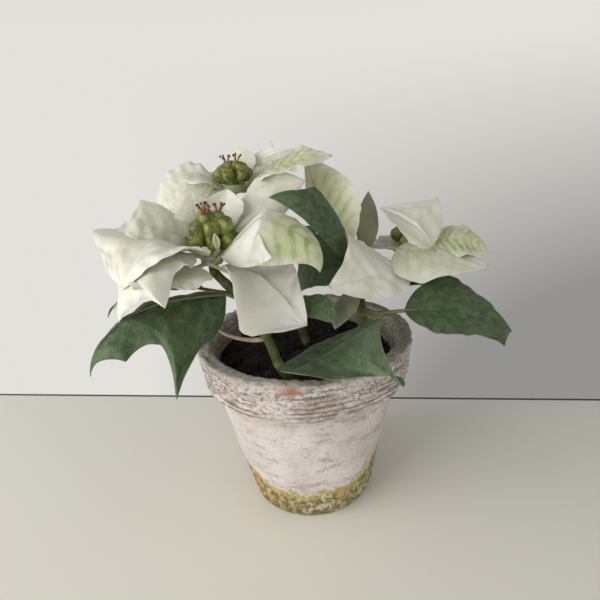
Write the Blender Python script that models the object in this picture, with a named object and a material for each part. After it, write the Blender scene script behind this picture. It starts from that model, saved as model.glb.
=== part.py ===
"""A potted white poinsettia: a whitewashed clay pot, its soil, three leafy stems, three heads of white
bracts round their buds, and one tall bract. The sizes at the top are in millimetres and degrees, and the
scene is in metres, +Z up. The pot stands on z = 0 with its axis on the Z axis, and its front faces -Y."""

import math

import bmesh
import bpy
import numpy as np

MM = 0.001

# Pot: an ordinary 12 cm clay pot with a straight collar
POT_HEIGHT = 100.0
RIM_RADIUS = 60.0
RIM_INNER_RADIUS = 52.0
COLLAR_HEIGHT = 22.0
COLLAR_FOOT_RADIUS = 57.5
BODY_TOP_RADIUS = 52.6
BASE_RADIUS = 35.0
CAVITY_FLOOR_RADIUS = 29.0
FLOOR_THICKNESS = 6.0
EDGE_ROUND = 1.5
ROUND_SIDES = 48

# Soil: it fills the pot to a little below the rim. The stems stand in plain holes in it
SOIL_LEVEL = 87.0
SOIL_CROWN = 2.0
CROWN_SHARE = 0.6
GAP = 0.3
HOLE_POINTS = 8

# Points nearer together than this, in metres, are merged
SLIVER = 0.00001
# Where the surface bends by more than this, in degrees, it is shaded as a fold
SHARP_ANGLE = 40

# Blades: the points along and across each leaf and bract, and the round stalk that carries it
THICKNESS = 0.8
ROWS = (0.0, 0.16, 0.33, 0.5, 0.67, 0.84, 1.0)
COLUMNS = (-1.0, -0.5, 0.0, 0.5, 1.0)
NARROW = 39.0
SPINE_STEPS = 49
LOBE_REACH = 0.16
LOBE_SHARPNESS = 1.4
LOBE_FORWARD = 0.5
CREASE_REACH = 0.07
NECK_HALF_WIDTH = 1.0
TIP_HALF_WIDTH = 0.4
STALK_RADIUS = 1.2
STALK_SIDES = 5
STALK_OVERLAP = 0.1

# Stems: the points that each runs through on its way from inside the soil to its head
STEM_RADIUS = 2.5
STEM_SIDES = 8
STEM_STEPS = 3
SIDEWAYS = (0.3, 1.0, 0.1)
UPRIGHT = 3.0
STEM_1 = [(-5, -36, 66), (-7, -40, 88), (-13, -39, 100), (-19, -34, 115), (-30, -26, 131), (-41, -20, 142)]
STEM_2 = [(2, 6, 66), (1, 7, 88), (-6, 13, 112), (-18, 24, 138), (-30, 33, 160), (-35, 35, 168)]
STEM_3 = [(29, -24, 66), (29, -23, 88), (31, -17, 108), (31, -8, 122), (33, 0, 129), (46, 10, 130),
          (57, 16, 129)]

# A dry stalk that lost its leaf, from the left stem to just over the pot's rim
DRY_STALK = [(-18, -35, 113), (-27, -33, 112), (-38, -28, 113), (-47, -21, 116)]

# Heads: the middle of each whorl of bracts, and of the bunch of buds above it
WHORL_RADIUS = 5.5
WHORL_HEIGHT = 5.0
WHORL_1, BUDS_1 = (-43, -18, 150), (-42, -15, 165)
WHORL_2, BUDS_2 = (-36, 35, 176), (-35, 37, 185)
WHORL_3, BUDS_3 = (60, 18, 138), (65, 29, 146)

# Buds: green knobs in rings round a green heart, and the upper ones have a tuft of stamens. A bunch is its
# heart's radius, its buds' radius, and each ring's count, radius, lift and first angle
HIGH_BUNCH = (6.5, 4.2, ((6, 7.8, -2.0, 0.6), (3, 3.8, 3.6, 0.2)))
FLAT_BUNCH = (5.0, 3.9, ((5, 6.6, 0.2, 0.6), (2, 2.8, 2.4, 0.2)))
NECK_RADIUS = 3.0
STAMEN_LENGTH = 5.0
STAMEN_RADIUS = 0.7
STAMEN_SIDES = 5
STAMEN_LEANS = (-0.3, 0.3)
STAMEN_SPREAD = 0.35

GREEN_STEM = ("stem_green", (0.12, 0.18, 0.05), 0.55)
WHITE_BRACT = ("bract_white", (0.78, 0.78, 0.70), 0.7)
PALE_GREEN = ("bract_pale_green", (0.62, 0.68, 0.46), 0.7)
BUD_GREEN = ("bud_green", (0.20, 0.26, 0.05), 0.5)
WHITEWASH = ("pot_whitewash", (0.66, 0.58, 0.54), 0.9)
SOIL_BLACK = ("soil_black", (0.02, 0.018, 0.016), 0.95)


def blade(root, turn, rise, droop, length, width, swing=0, late=1.5, roll=0, twist=0, fold=8, curl=-15,
          lean=0.0, stalk=6, belly=0.42, point=0.95, lobes=(), foot=None, crease=(0.5, 0)):
    """One leaf or bract. It leaves its root at the angle turn round Z and rise above level, and droops and
    swings on its way to the tip. Its width is turned by roll and twist about the midrib, its halves fold up
    from the midrib and curl, and lean makes the left half the wider. A lobe is a side (1 left, -1 right), a
    place along the blade, a size in half widths and, for a blunt one, its reach. Foot is where its stalk
    starts, and without one it starts at the whorl's middle. A crease is a place along the blade and how
    sharply it is bent down there."""
    return dict(root=root, turn=turn, rise=rise, droop=droop, length=length, width=width, swing=swing,
                late=late, roll=roll, twist=twist, fold=fold, curl=curl, lean=lean, stalk=stalk,
                belly=belly, point=point, lobes=lobes, foot=foot, crease=crease)


# Bracts of the left, front head
BRACTS_1 = [
    blade((-44, -18, 150), 221, 35, 125, 58, 54, swing=13, late=2.2, roll=-4, twist=5, curl=-6, lean=-0.07,
          lobes=[(-1, 0.55, 0.35, 0.3)]),
    blade((-47, -21, 152), 224, 28, 115, 60, 44, late=1.3, roll=-4, twist=22, curl=-32,
          lobes=[(1, 0.58, 0.8)]),
    blade((-46, -23, 149), 243, 4, 0, 47, 37, roll=-5),
    blade((-44, -24, 150), -2, -28, 6, 57, 50, swing=-34, late=1.0, roll=-18, twist=64, fold=18, curl=10,
          lean=-0.35, lobes=[(-1, 0.5, 0.42, 0.3), (1, 0.45, 0.25, 0.3)]),
    blade((-42, -23, 149), -15, 42, 96, 76, 49, swing=6, late=5, roll=20, fold=-2, curl=-49,
          crease=(0.45, 60)),
    blade((-38, -11, 153), 57, 37, 27, 60, 38, swing=-49, late=1.8, roll=-30, twist=83, curl=-31, lean=0.16),
    blade((-48, -14, 153), 182, 48, 78, 44, 43, swing=18, roll=-12, twist=-7, lobes=[(-1, 0.6, 0.35)]),
    blade((-48, -8, 153), 115, 38, -54, 32, 22, late=0.8),
    blade((-41, -5, 153), 79, 38, -20, 34, 28, late=0.8, fold=20, curl=20),
    blade((-47, -13, 151), 138, 18, 50, 52, 40),
    blade((-43, -12, 150), 92, 10, 35, 46, 38),
]

# Bracts of the top, back head
BRACTS_2 = [
    blade((-40, 34, 177), 193, 25, 93, 44, 45, swing=-7, late=1.3, roll=-26, twist=-4),
    blade((-41, 31, 176), 199, 44, 65, 26, 18, roll=-10, twist=-7),
    blade((-37, 41, 175), 86, 24, -15, 42, 29, roll=-15, twist=-11),
    blade((-33, 40, 175), 64, 23, -19, 47, 27, swing=-6, roll=-11, twist=-4, curl=-19),
    blade((-31, 38, 175), 29, 28, 7, 47, 26, swing=-3, twist=6, fold=12, curl=-2),
    blade((-29, 36, 177), -6, 29, 34, 54, 43, twist=16, curl=-13),
    blade((-40, 38, 175), 140, 22, 55, 52, 42),
    blade((-37, 40, 174), 112, 2, 45, 56, 44),
    blade((-31, 38, 174), 50, -5, 35, 50, 38),
]

# Bracts of the right head
BRACTS_3 = [
    blade((74, 1, 138), 161, 54, 46, 43, 44, swing=-28, roll=-22, twist=27, fold=14, curl=-3, lean=-0.24,
          lobes=[(-1, 0.42, 0.3)]),
    blade((69, 14, 140), -18, 26, 74, 38, 36, swing=5, roll=15, curl=-18),
    blade((49, 13, 142), -36, -2, 10, 55, 49, swing=13, roll=14, twist=-10, curl=-25, lean=-0.1, belly=0.34),
    blade((59, 7, 132), -117, 10, 13, 64, 31, swing=-43, roll=-18, twist=-64, curl=-18, lean=-0.19,
          lobes=[(-1, 0.58, 0.45, 0.26)]),
    blade((62, 19, 137), 72, 8, 35, 50, 42),
    blade((57, 19, 137), 108, 8, 30, 40, 36),
    blade((66, 16, 138), 30, 12, 40, 50, 38),
]

# A bract of its own colour, whose stalk ends against the right stem
TALL_BRACT = blade((25, 6, 133), 106, 38, -25, 77, 41, swing=10, roll=-73, fold=-3, curl=-21, lean=-0.24,
                   foot=(30.9, 1.6, 130.1))

# Leaves of each stem
LEAVES_1 = [
    blade((-37, -23, 133), 216, 11, 96, 81, 41, late=2.5, roll=-31, twist=41, fold=-15, curl=-46,
          lean=0.17, stalk=0.5, belly=0.28, point=1.3,
          lobes=[(1, 0.38, 1.1), (-1, 0.44, 0.3), (-1, 0.7, 0.5), (1, 0.76, 0.3)], foot=(-30, -26, 131)),
    blade((-45, -12, 131), 181, 20, 77, 63, 27, fold=15, foot=(-33, -24, 133)),
    blade((0, -23, 128), -54, 4, 39, 27, 12, roll=34, twist=17, stalk=2, foot=(-20, -33, 116)),
]
LEAVES_2 = [
    blade((-12, 28, 134), 70, 25, 55, 66, 42, stalk=10, foot=(-15, 21, 132)),
    blade((-30, 38, 150), 165, 20, 70, 60, 38, stalk=10, foot=(-25, 30, 150)),
    blade((-8, 24, 116), 120, 20, 60, 62, 40, stalk=10, foot=(-9, 16, 118)),
]
LEAVES_3 = [
    blade((39, -35, 121), 188, -32, -61, 65, 58, swing=49, roll=22, twist=-28, fold=10, curl=-3, lean=0.6,
          stalk=2, point=0.8, lobes=[(1, 0.36, 0.9, 0.3)], foot=(31, -12, 116)),
    blade((32, -19, 116), -16, 11, 41, 73, 41, swing=5, roll=26, twist=-11, curl=-12, lean=0.21, stalk=20,
          lobes=[(-1, 0.84, 0.35), (1, 0.38, 0.15)], foot=(31, -13, 114)),
    blade((26, -7, 133), 188, 82, 86, 65, 20, swing=-10, roll=-32, twist=-18, curl=-25, stalk=8,
          lobes=[(-1, 0.62, 0.5)], foot=(32, -2, 127)),
    blade((32, -4, 135), 194, 35, 138, 45, 47, swing=-24, roll=-29, twist=22, curl=-9, lean=-0.09, stalk=8,
          foot=(33, 0, 129)),
    blade((28, -6, 128), 249, -11, 7, 39, 14, roll=9, curl=-40, stalk=4, foot=(32, -4, 125)),
    blade((36, 12, 135), 73, 45, 7, 49, 13, swing=8, roll=8, curl=-22, foot=(41, 6, 131)),
    blade((40, -4, 122), 40, 8, 45, 66, 40, stalk=12, foot=(31, -8, 121)),
    blade((34, 4, 116), 92, 15, 55, 62, 40, stalk=12, foot=(31, -14, 112)),
]


def points_along(route, steps):
    """A smooth cubic curve through the route's points, with the steps given between each two."""
    route = np.array(route, float)
    ends = np.vstack([2 * route[0] - route[1], route, 2 * route[-1] - route[-2]])
    t = (np.arange(steps) / steps)[:, None]
    curves = [
        a + (c - z) * t / 2 + (2 * z - 5 * a + 4 * c - d) * t**2 / 2 + (3 * a - z - 3 * c + d) * t**3 / 2
        for z, a, c, d in zip(ends, ends[1:], ends[2:], ends[3:])
    ]
    return np.vstack(curves + [route[-1:]])


def unit(vectors):
    return vectors / np.linalg.norm(vectors, axis=-1, keepdims=True)


def tube(route, radius, sides):
    """The points and faces of a closed round rod along the route's points, with flat ends."""
    route = np.array(route, float)
    along = unit(np.gradient(route, axis=0))
    along[0], along[-1] = unit(route[1] - route[0]), unit(route[-1] - route[-2])
    across = unit(np.cross(along, SIDEWAYS))
    beside = np.cross(along, across)
    angles = 2 * math.pi * np.arange(sides) / sides
    rings = route[:, None] + radius * (
        np.cos(angles)[None, :, None] * across[:, None] + np.sin(angles)[None, :, None] * beside[:, None]
    )
    count = len(route)
    faces = [list(range(sides))[::-1], [(count - 1) * sides + k for k in range(sides)]]
    for row in range(count - 1):
        for k in range(sides):
            here, after = row * sides + k, row * sides + (k + 1) % sides
            faces.append([here, after, after + sides, here + sides])
    return rings.reshape(-1, 3), faces


def blade_half_width(shape, along, side):
    """Half the blade's width at each place along it, and how far a lobe there leans forward."""
    rise_power = shape["point"] * shape["belly"] / (1 - shape["belly"])
    peak = shape["belly"] ** rise_power * (1 - shape["belly"]) ** shape["point"]
    outline = along**rise_power * (1 - along) ** shape["point"] / peak
    half = shape["width"] / 2
    width = half * outline * (1 + shape["lean"] * np.sign(side))
    forward = np.zeros_like(width)
    for lobe_side, place, size, *reach in shape["lobes"]:
        reach = reach[0] if reach else LOBE_REACH
        bump = np.clip(1 - np.abs(along - place) / reach, 0, 1) ** LOBE_SHARPNESS
        bump = bump * (np.sign(side) == lobe_side)
        width = width + half * size * bump
        forward = forward + LOBE_FORWARD * half * size * bump * np.abs(side)
    least = np.maximum(NECK_HALF_WIDTH * np.sqrt(1 - along), TIP_HALF_WIDTH)
    return np.maximum(width, least), forward


def blade_surface(shape, along, side):
    """Points and normals of the blade's middle surface, at places 0 to 1 along it and -1 to 1 across it.
    The midrib is a path that turns by swing and sinks by droop, and each section is a circular arc."""
    steps = np.linspace(0, 1, SPINE_STEPS)
    place, bend = shape["crease"]
    creased = bend * np.clip((steps - place) / CREASE_REACH + 0.5, 0, 1)
    sink = np.radians(shape["rise"] - shape["droop"] * steps ** shape["late"] - creased)
    turn = np.radians(shape["turn"] + shape["swing"] * steps)
    ahead = np.stack([np.cos(sink) * np.cos(turn), np.cos(sink) * np.sin(turn), np.sin(sink)], -1)
    strides = (ahead[1:] + ahead[:-1]) / 2 * shape["length"] / (SPINE_STEPS - 1)
    path = np.array(shape["root"], float) + np.vstack([np.zeros(3), np.cumsum(strides, axis=0)])
    level = np.stack([-np.sin(turn), np.cos(turn), 0 * turn], -1)
    upward = np.cross(ahead, level)
    roll = np.radians(shape["roll"] + shape["twist"] * steps)[:, None]
    left = np.cos(roll) * level + np.sin(roll) * upward
    up = np.cos(roll) * upward - np.sin(roll) * level

    stalk = shape["stalk"] / shape["length"]
    place = stalk + along * (1 - stalk)
    path, ahead, left, up = (
        np.stack([np.interp(place, steps, values[:, axis]) for axis in range(3)], -1)
        for values in (path, ahead, left, up)
    )
    width, forward = blade_half_width(shape, along, side)
    fold, curl = math.radians(shape["fold"]), math.radians(shape["curl"])
    slope = fold + curl * np.abs(side)
    out = width / curl * (np.sin(slope) - math.sin(fold)) * np.sign(side)
    lift = width / curl * (math.cos(fold) - np.cos(slope))
    points = path + left * out[..., None] + up * lift[..., None] + ahead * forward[..., None]
    normals = up * np.cos(slope)[..., None] - left * (np.sin(slope) * np.sign(side))[..., None]
    return points, unit(normals)


def blade_solid(shape, middle):
    """The blade as a thin closed sheet whose two faces are split into triangles alike, and the round stalk
    that joins it to its foot or its whorl's middle."""
    columns = COLUMNS if shape["width"] > NARROW else COLUMNS[::2]
    along, side = np.meshgrid(ROWS, columns, indexing="ij")
    for _, place, *_ in shape["lobes"]:
        along[np.abs(along[:, 0] - place).argmin()] = place
    points, normals = blade_surface(shape, along, side)
    upper, lower = points + normals * THICKNESS / 2, points - normals * THICKNESS / 2
    rows, columns = along.shape
    count = rows * columns
    faces = []
    for row in range(rows - 1):
        for column in range(columns - 1):
            a = row * columns + column
            b, c, d = a + 1, a + columns + 1, a + columns
            faces += [[a, d, c], [a, c, b]]
            faces += [[count + a, count + c, count + d], [count + a, count + b, count + c]]
    edge = [row * columns for row in range(rows)]
    edge += [(rows - 1) * columns + column for column in range(1, columns)]
    edge += [row * columns + columns - 1 for row in range(rows - 2, -1, -1)]
    edge += list(range(columns - 2, 0, -1))
    for a, b in zip(edge, edge[1:] + edge[:1]):
        faces += [[a, count + a, count + b], [a, count + b, b]]
    sheet = (np.concatenate([upper, lower]).reshape(-1, 3), faces)

    inside = blade_surface(shape, np.array([STALK_OVERLAP]), np.zeros(1))[0]
    start = shape["foot"] or middle
    return [sheet, tube(np.vstack([start, shape["root"], inside]), STALK_RADIUS, STALK_SIDES)]


def ball(middle, radius, subdivisions):
    """The points and faces of a round knob made of even triangles."""
    mesh = bmesh.new()
    bmesh.ops.create_icosphere(mesh, subdivisions=subdivisions, radius=radius)
    points = np.array([vertex.co for vertex in mesh.verts]) + np.array(middle)
    faces = [[vertex.index for vertex in face.verts] for face in mesh.faces]
    mesh.free()
    return points, faces


def bud_solids(middle, whorl, bunch):
    """A neck on the whorl, a heart on it, two rings of buds, and stamens on the upper ones."""
    heart_radius, bud_radius, rings = bunch
    middle = np.array(middle, float)
    foot = np.array(whorl, float) + (0, 0, WHORL_HEIGHT / 2 + GAP)
    bend = foot + (0, 0, UPRIGHT)
    solids = [tube([foot, bend, middle], NECK_RADIUS, STEM_SIDES), ball(middle, heart_radius, 1)]
    for count, ring, lift, first in rings:
        for k in range(count):
            angle = first + 2 * math.pi * k / count
            out = np.array([math.cos(angle), math.sin(angle), 0.0])
            bud = middle + ring * out + (0, 0, lift)
            solids.append(ball(bud, bud_radius, 2))
            if (count, ring, lift, first) != rings[-1]:
                continue
            for lean in STAMEN_LEANS:
                beside = np.array([-out[1], out[0], 0.0])
                upward = unit(np.array([0.0, 0.0, 1.0]) + STAMEN_SPREAD * out + lean * beside)
                tip = bud + upward * (bud_radius + STAMEN_LENGTH)
                solids.append(tube([bud + upward * bud_radius / 2, tip], STAMEN_RADIUS, STAMEN_SIDES))
    return solids


def mesh_object(name, points, faces):
    mesh = bpy.data.meshes.new(name)
    mesh.from_pydata((np.asarray(points) * MM).tolist(), [], faces)
    cleaner = bmesh.new()
    cleaner.from_mesh(mesh)
    bmesh.ops.recalc_face_normals(cleaner, faces=cleaner.faces)
    cleaner.to_mesh(mesh)
    cleaner.free()
    made = bpy.data.objects.new(name, mesh)
    bpy.context.scene.collection.objects.link(made)
    return made


def material(node, look):
    """The node's own material, from a look's name, colour and roughness."""
    name, colour, roughness = look
    made = bpy.data.materials.new(node + "_" + name)
    made.use_nodes = True
    shader = made.node_tree.nodes["Principled BSDF"]
    shader.inputs["Base Color"].default_value = (*colour, 1.0)
    shader.inputs["Roughness"].default_value = roughness
    shader.inputs["Metallic"].default_value = 0.0
    return made


def finish(made, name, look):
    """Gives an object its name, its own material, and smooth shading with sharp folds."""
    made.name = made.data.name = name
    made.data.materials.clear()
    made.data.materials.append(material(name, look))
    made.data.shade_smooth()
    made.data.set_sharp_from_angle(angle=math.radians(SHARP_ANGLE))


def apply_modifiers(made):
    bpy.context.view_layer.update()
    graph = bpy.context.evaluated_depsgraph_get()
    old = made.data
    made.data = bpy.data.meshes.new_from_object(made.evaluated_get(graph))
    made.modifiers.clear()
    bpy.data.meshes.remove(old)


def drop_slivers(mesh):
    """Merges the points that a Boolean leaves nearly at one place, and splits the faces into triangles."""
    cleaner = bmesh.new()
    cleaner.from_mesh(mesh)
    bmesh.ops.remove_doubles(cleaner, verts=cleaner.verts, dist=SLIVER)
    bmesh.ops.dissolve_degenerate(cleaner, edges=cleaner.edges, dist=SLIVER)
    bmesh.ops.triangulate(cleaner, faces=cleaner.faces)
    cleaner.to_mesh(mesh)
    cleaner.free()


def combine(made, solids, operation):
    """Joins the solids to the object, or cuts them out of it, and leaves one closed mesh."""
    group = bpy.data.collections.new("tools")
    bpy.context.scene.collection.children.link(group)
    for points, faces in solids:
        tool = mesh_object("tool", points, faces)
        bpy.context.scene.collection.objects.unlink(tool)
        group.objects.link(tool)
    change = made.modifiers.new("combine", "BOOLEAN")
    change.operation = operation
    change.operand_type = "COLLECTION"
    change.collection = group
    if operation == "UNION":
        # EXACT leaves sheets that touch along an edge where many of them cross
        change.solver = "MANIFOLD"
    apply_modifiers(made)
    drop_slivers(made.data)
    for tool in list(group.objects):
        mesh = tool.data
        bpy.data.objects.remove(tool)
        bpy.data.meshes.remove(mesh)
    bpy.data.collections.remove(group)


def fused(name, solids, look):
    made = mesh_object(name, *solids[0])
    combine(made, solids[1:], "UNION")
    finish(made, name, look)
    return made


def turned(name, profile):
    """A solid of revolution round Z, from a profile of radius and height with both its ends on the axis."""
    mesh = bmesh.new()
    points = [mesh.verts.new((radius * MM, 0, height * MM)) for radius, height in profile]
    edges = [mesh.edges.new(pair) for pair in zip(points, points[1:])]
    bmesh.ops.spin(
        mesh, geom=points + edges, cent=(0, 0, 0), axis=(0, 0, 1), angle=2 * math.pi, steps=ROUND_SIDES
    )
    bmesh.ops.remove_doubles(mesh, verts=mesh.verts, dist=SLIVER)
    bmesh.ops.recalc_face_normals(mesh, faces=mesh.faces)
    made = bpy.data.objects.new(name, bpy.data.meshes.new(name))
    mesh.to_mesh(made.data)
    mesh.free()
    bpy.context.scene.collection.objects.link(made)
    return made


def cavity_radius(height):
    """The radius of the pot's inside at a height."""
    share = (height - FLOOR_THICKNESS) / (POT_HEIGHT - FLOOR_THICKNESS)
    return CAVITY_FLOOR_RADIUS + share * (RIM_INNER_RADIUS - CAVITY_FLOOR_RADIUS)


def make_pot():
    collar_foot = POT_HEIGHT - COLLAR_HEIGHT
    profile = [
        (0, 0), (BASE_RADIUS - EDGE_ROUND, 0), (BASE_RADIUS, EDGE_ROUND), (BODY_TOP_RADIUS, collar_foot),
        (COLLAR_FOOT_RADIUS - EDGE_ROUND, collar_foot), (COLLAR_FOOT_RADIUS, collar_foot + EDGE_ROUND),
        (RIM_RADIUS, POT_HEIGHT - EDGE_ROUND), (RIM_RADIUS - EDGE_ROUND, POT_HEIGHT),
        (RIM_INNER_RADIUS + EDGE_ROUND, POT_HEIGHT),
        (cavity_radius(POT_HEIGHT - EDGE_ROUND), POT_HEIGHT - EDGE_ROUND),
        (CAVITY_FLOOR_RADIUS, FLOOR_THICKNESS), (0, FLOOR_THICKNESS),
    ]
    finish(turned("pot", profile), "pot", WHITEWASH)


def make_soil(routes):
    bottom = FLOOR_THICKNESS + GAP
    profile = [
        (0, bottom), (cavity_radius(bottom) - GAP, bottom), (cavity_radius(SOIL_LEVEL) - GAP, SOIL_LEVEL),
        (cavity_radius(SOIL_LEVEL) * CROWN_SHARE, SOIL_LEVEL + SOIL_CROWN), (0, SOIL_LEVEL + SOIL_CROWN),
    ]
    soil = turned("soil", profile)
    holes = []
    for route in routes:
        foot = route[0] - unit(route[1] - route[0]) * GAP
        holes.append(tube(np.vstack([foot, route[1:HOLE_POINTS]]), STEM_RADIUS + GAP, STEM_SIDES))
    combine(soil, holes, "DIFFERENCE")
    finish(soil, "soil", SOIL_BLACK)


def stem_route(points, whorl):
    """The stem's smooth path, whose last point is just under the whorl."""
    top = np.array(whorl, float) - (0, 0, WHORL_HEIGHT / 2 + GAP)
    return np.vstack([points_along([*points, top - (0, 0, UPRIGHT)], STEM_STEPS), top])


def make_stem(name, route, leaves, twigs):
    solids = [tube(route, STEM_RADIUS, STEM_SIDES)]
    solids += [tube(points_along(twig, STEM_STEPS), STALK_RADIUS, STALK_SIDES) for twig in twigs]
    for leaf in leaves:
        solids += blade_solid(leaf, None)
    fused(name, solids, GREEN_STEM)


def make_head(name, whorl, bracts, buds, bunch):
    middle = np.array(whorl, float)
    half = np.array([0, 0, WHORL_HEIGHT / 2])
    solids = [tube([middle - half, middle, middle + half], WHORL_RADIUS, 2 * STEM_SIDES)]
    for bract in bracts:
        solids += blade_solid(bract, middle)
    fused("bracts_" + name, solids, WHITE_BRACT)
    fused("buds_" + name, bud_solids(buds, whorl, bunch), BUD_GREEN)


def build():
    for old in list(bpy.data.objects):
        bpy.data.objects.remove(old)
    make_pot()
    plants = {
        "left": (STEM_1, LEAVES_1, WHORL_1, BRACTS_1, BUDS_1, HIGH_BUNCH),
        "back": (STEM_2, LEAVES_2, WHORL_2, BRACTS_2, BUDS_2, FLAT_BUNCH),
        "right": (STEM_3, LEAVES_3, WHORL_3, BRACTS_3, BUDS_3, FLAT_BUNCH),
    }
    routes = {name: stem_route(plant[0], plant[2]) for name, plant in plants.items()}
    make_soil(routes.values())
    for name, (_, leaves, whorl, bracts, buds, bunch) in plants.items():
        make_stem("stem_" + name, routes[name], leaves, [DRY_STALK] if name == "left" else [])
        make_head(name, whorl, bracts, buds, bunch)
    fused("bract_tall", blade_solid(TALL_BRACT, None), PALE_GREEN)


build()
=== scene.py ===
# %% [markdown]
# # A potted white poinsettia
#
# A small poinsettia with three heads of white bracts stands in a whitewashed clay pot. The frame that is
# loaded first holds the plain solids of the pot, the soil, the stems, the leaves and the heads. This script
# makes the surfaces that are seen: each one is worked out with numpy on a grid, and replaces the plain solid
# it stands for.

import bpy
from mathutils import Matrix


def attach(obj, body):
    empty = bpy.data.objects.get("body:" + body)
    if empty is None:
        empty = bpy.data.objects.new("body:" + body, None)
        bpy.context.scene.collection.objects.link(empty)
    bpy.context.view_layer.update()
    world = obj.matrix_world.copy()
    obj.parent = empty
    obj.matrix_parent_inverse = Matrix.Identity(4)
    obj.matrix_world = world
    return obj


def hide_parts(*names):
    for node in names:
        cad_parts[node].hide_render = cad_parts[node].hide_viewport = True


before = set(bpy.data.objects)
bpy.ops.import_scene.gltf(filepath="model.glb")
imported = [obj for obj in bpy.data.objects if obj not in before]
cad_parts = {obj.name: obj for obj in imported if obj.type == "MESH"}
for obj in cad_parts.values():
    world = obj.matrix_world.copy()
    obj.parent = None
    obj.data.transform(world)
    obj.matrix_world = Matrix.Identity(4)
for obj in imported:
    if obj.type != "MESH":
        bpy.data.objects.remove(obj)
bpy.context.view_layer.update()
print("frame:", sorted(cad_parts))

# %% The tools of the trade
import math

import bmesh
import bpy
import numpy as np
from mathutils import Matrix

MM = 0.001

# %% [markdown]
# ## From arrays to a mesh
#
# Every surface below is a *part*: points in millimetres, four-cornered faces, a UV place and three marks for
# each point. The marks are small numbers that the materials read: how green a bract is, or under 0 how much
# whiter it is painted as painted light, whether the point lies on the upper face, and whether it belongs to a
# stalk. Parts are cheap to join, so a head of a dozen bracts is one mesh. Where a grid closes on itself or
# runs into a pole, the doubled points are merged and the normals made to agree.

# %% Parts and pieces
def grid_faces(rows, columns, closed=False):
    """The four-cornered faces between the neighbouring points of a grid that is listed row by row."""
    row = np.arange(rows - 1)[:, None] * columns
    column = np.arange(columns if closed else columns - 1)[None]
    here, beside = row + column, row + (column + 1) % columns
    return np.stack([here, beside, beside + columns, here + columns], -1).reshape(-1, 4)


def part(points, faces, uv=None, marks=(0.0, 0.0, 0.0)):
    """One surface: points (mm), faces, UV places, and the marks green, upper and stalk for every point."""
    points = np.asarray(points, float).reshape(-1, 3)
    uv = np.zeros((len(points), 2)) if uv is None else np.asarray(uv, float).reshape(-1, 2)
    return points, faces, uv, np.broadcast_to(marks, (len(points), 3))


def joined(parts):
    """Several parts as one: their arrays end to end, with the faces counted on."""
    starts = np.cumsum([0] + [len(one[0]) for one in parts[:-1]])
    return (
        np.concatenate([one[0] for one in parts]),
        np.concatenate([one[1] + start for one, start in zip(parts, starts)]),
        np.concatenate([one[2] for one in parts]),
        np.concatenate([one[3] for one in parts]),
    )


# %% [markdown]
# A part becomes a piece in three steps. Its arrays are poured into a Blender mesh, which is far quicker than
# adding points one at a time. The mesh is cleaned: points that lie on one another become one, the normals
# are made to agree, and only real edges stay sharp. The object is then set on the frame, in place of one
# plain solid.

# %% From parts to a piece
MERGE_WITHIN = 2e-6
SHARP_FROM = math.radians(50)


def linked(name, data):
    """A new object that shows the data, in the scene."""
    made = bpy.data.objects.new(name, data)
    bpy.context.scene.collection.objects.link(made)
    return made


def poured(name, points, faces, uv, marks):
    """A mesh from arrays, with the layer place for its UV places and the attribute marks for its marks."""
    mesh = bpy.data.meshes.new(name)
    mesh.vertices.add(len(points))
    mesh.vertices.foreach_set("co", (points * MM).astype(np.float32).ravel())
    mesh.loops.add(faces.size)
    mesh.loops.foreach_set("vertex_index", faces.astype(np.int32).ravel())
    mesh.polygons.add(len(faces))
    mesh.polygons.foreach_set("loop_start", np.arange(0, faces.size, 4, dtype=np.int32))
    mesh.update(calc_edges=True)
    places = mesh.uv_layers.new(name="place").data
    places.foreach_set("uv", uv[faces.ravel()].astype(np.float32).ravel())
    marked = mesh.attributes.new("marks", "FLOAT_VECTOR", "POINT").data
    marked.foreach_set("vector", marks.astype(np.float32).ravel())
    return mesh


def clean(mesh):
    """Merges doubled points, makes the normals agree, and shades the mesh smooth but for its real edges."""
    cleaner = bmesh.new()
    cleaner.from_mesh(mesh)
    bmesh.ops.remove_doubles(cleaner, verts=cleaner.verts, dist=MERGE_WITHIN)
    bmesh.ops.recalc_face_normals(cleaner, faces=cleaner.faces)
    cleaner.to_mesh(mesh)
    cleaner.free()
    mesh.shade_smooth()
    mesh.set_sharp_from_angle(angle=SHARP_FROM)


def piece(name, parts, look, node):
    """Makes the parts one object with a material, sets it on the frame and hides the solid it replaces."""
    mesh = poured(name, *joined(parts))
    clean(mesh)
    mesh.materials.append(look)
    made = linked(name, mesh)
    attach(made, "root")
    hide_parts(node)
    print(f"{name}: {len(mesh.polygons)} faces")


# %% [markdown]
# ## Uneven surfaces
#
# Nothing here is as smooth as a machined part. A sum of a few sine waves in seeded random directions makes
# soft lumps of about one size, and it works on whole arrays at once.

# %% Lumps
WAVES = 14
WAVE_LENGTHS = (0.7, 1.4)
WAVE_SCALE = 3.0


def lumps(points, size, seed, stretch=(1.0, 1.0, 1.0)):
    """Soft noise of about -1 to 1. It is the mean of waves sin(k . p + phase), whose vectors k have the
    length 2 pi / size and point every way; stretch makes the lumps that many times longer along each
    axis."""
    draw = np.random.default_rng(seed)
    ways = draw.normal(size=(WAVES, 3))
    ways = ways / np.linalg.norm(ways, axis=1, keepdims=True) * draw.uniform(*WAVE_LENGTHS, (WAVES, 1))
    phases = draw.uniform(0, 2 * math.pi, WAVES)
    waves = np.sin((points / np.array(stretch)) @ (ways * 2 * math.pi / size).T + phases)
    return waves.sum(-1) / WAVE_SCALE


def unit(vectors):
    """The vectors at length one."""
    return vectors / np.linalg.norm(vectors, axis=-1, keepdims=True)


def eased(value, low, high):
    """0 below low, 1 above high, and a smooth rise t t (3 - 2 t) between them."""
    t = np.clip((value - low) / (high - low), 0, 1)
    return t * t * (3 - 2 * t)


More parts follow.
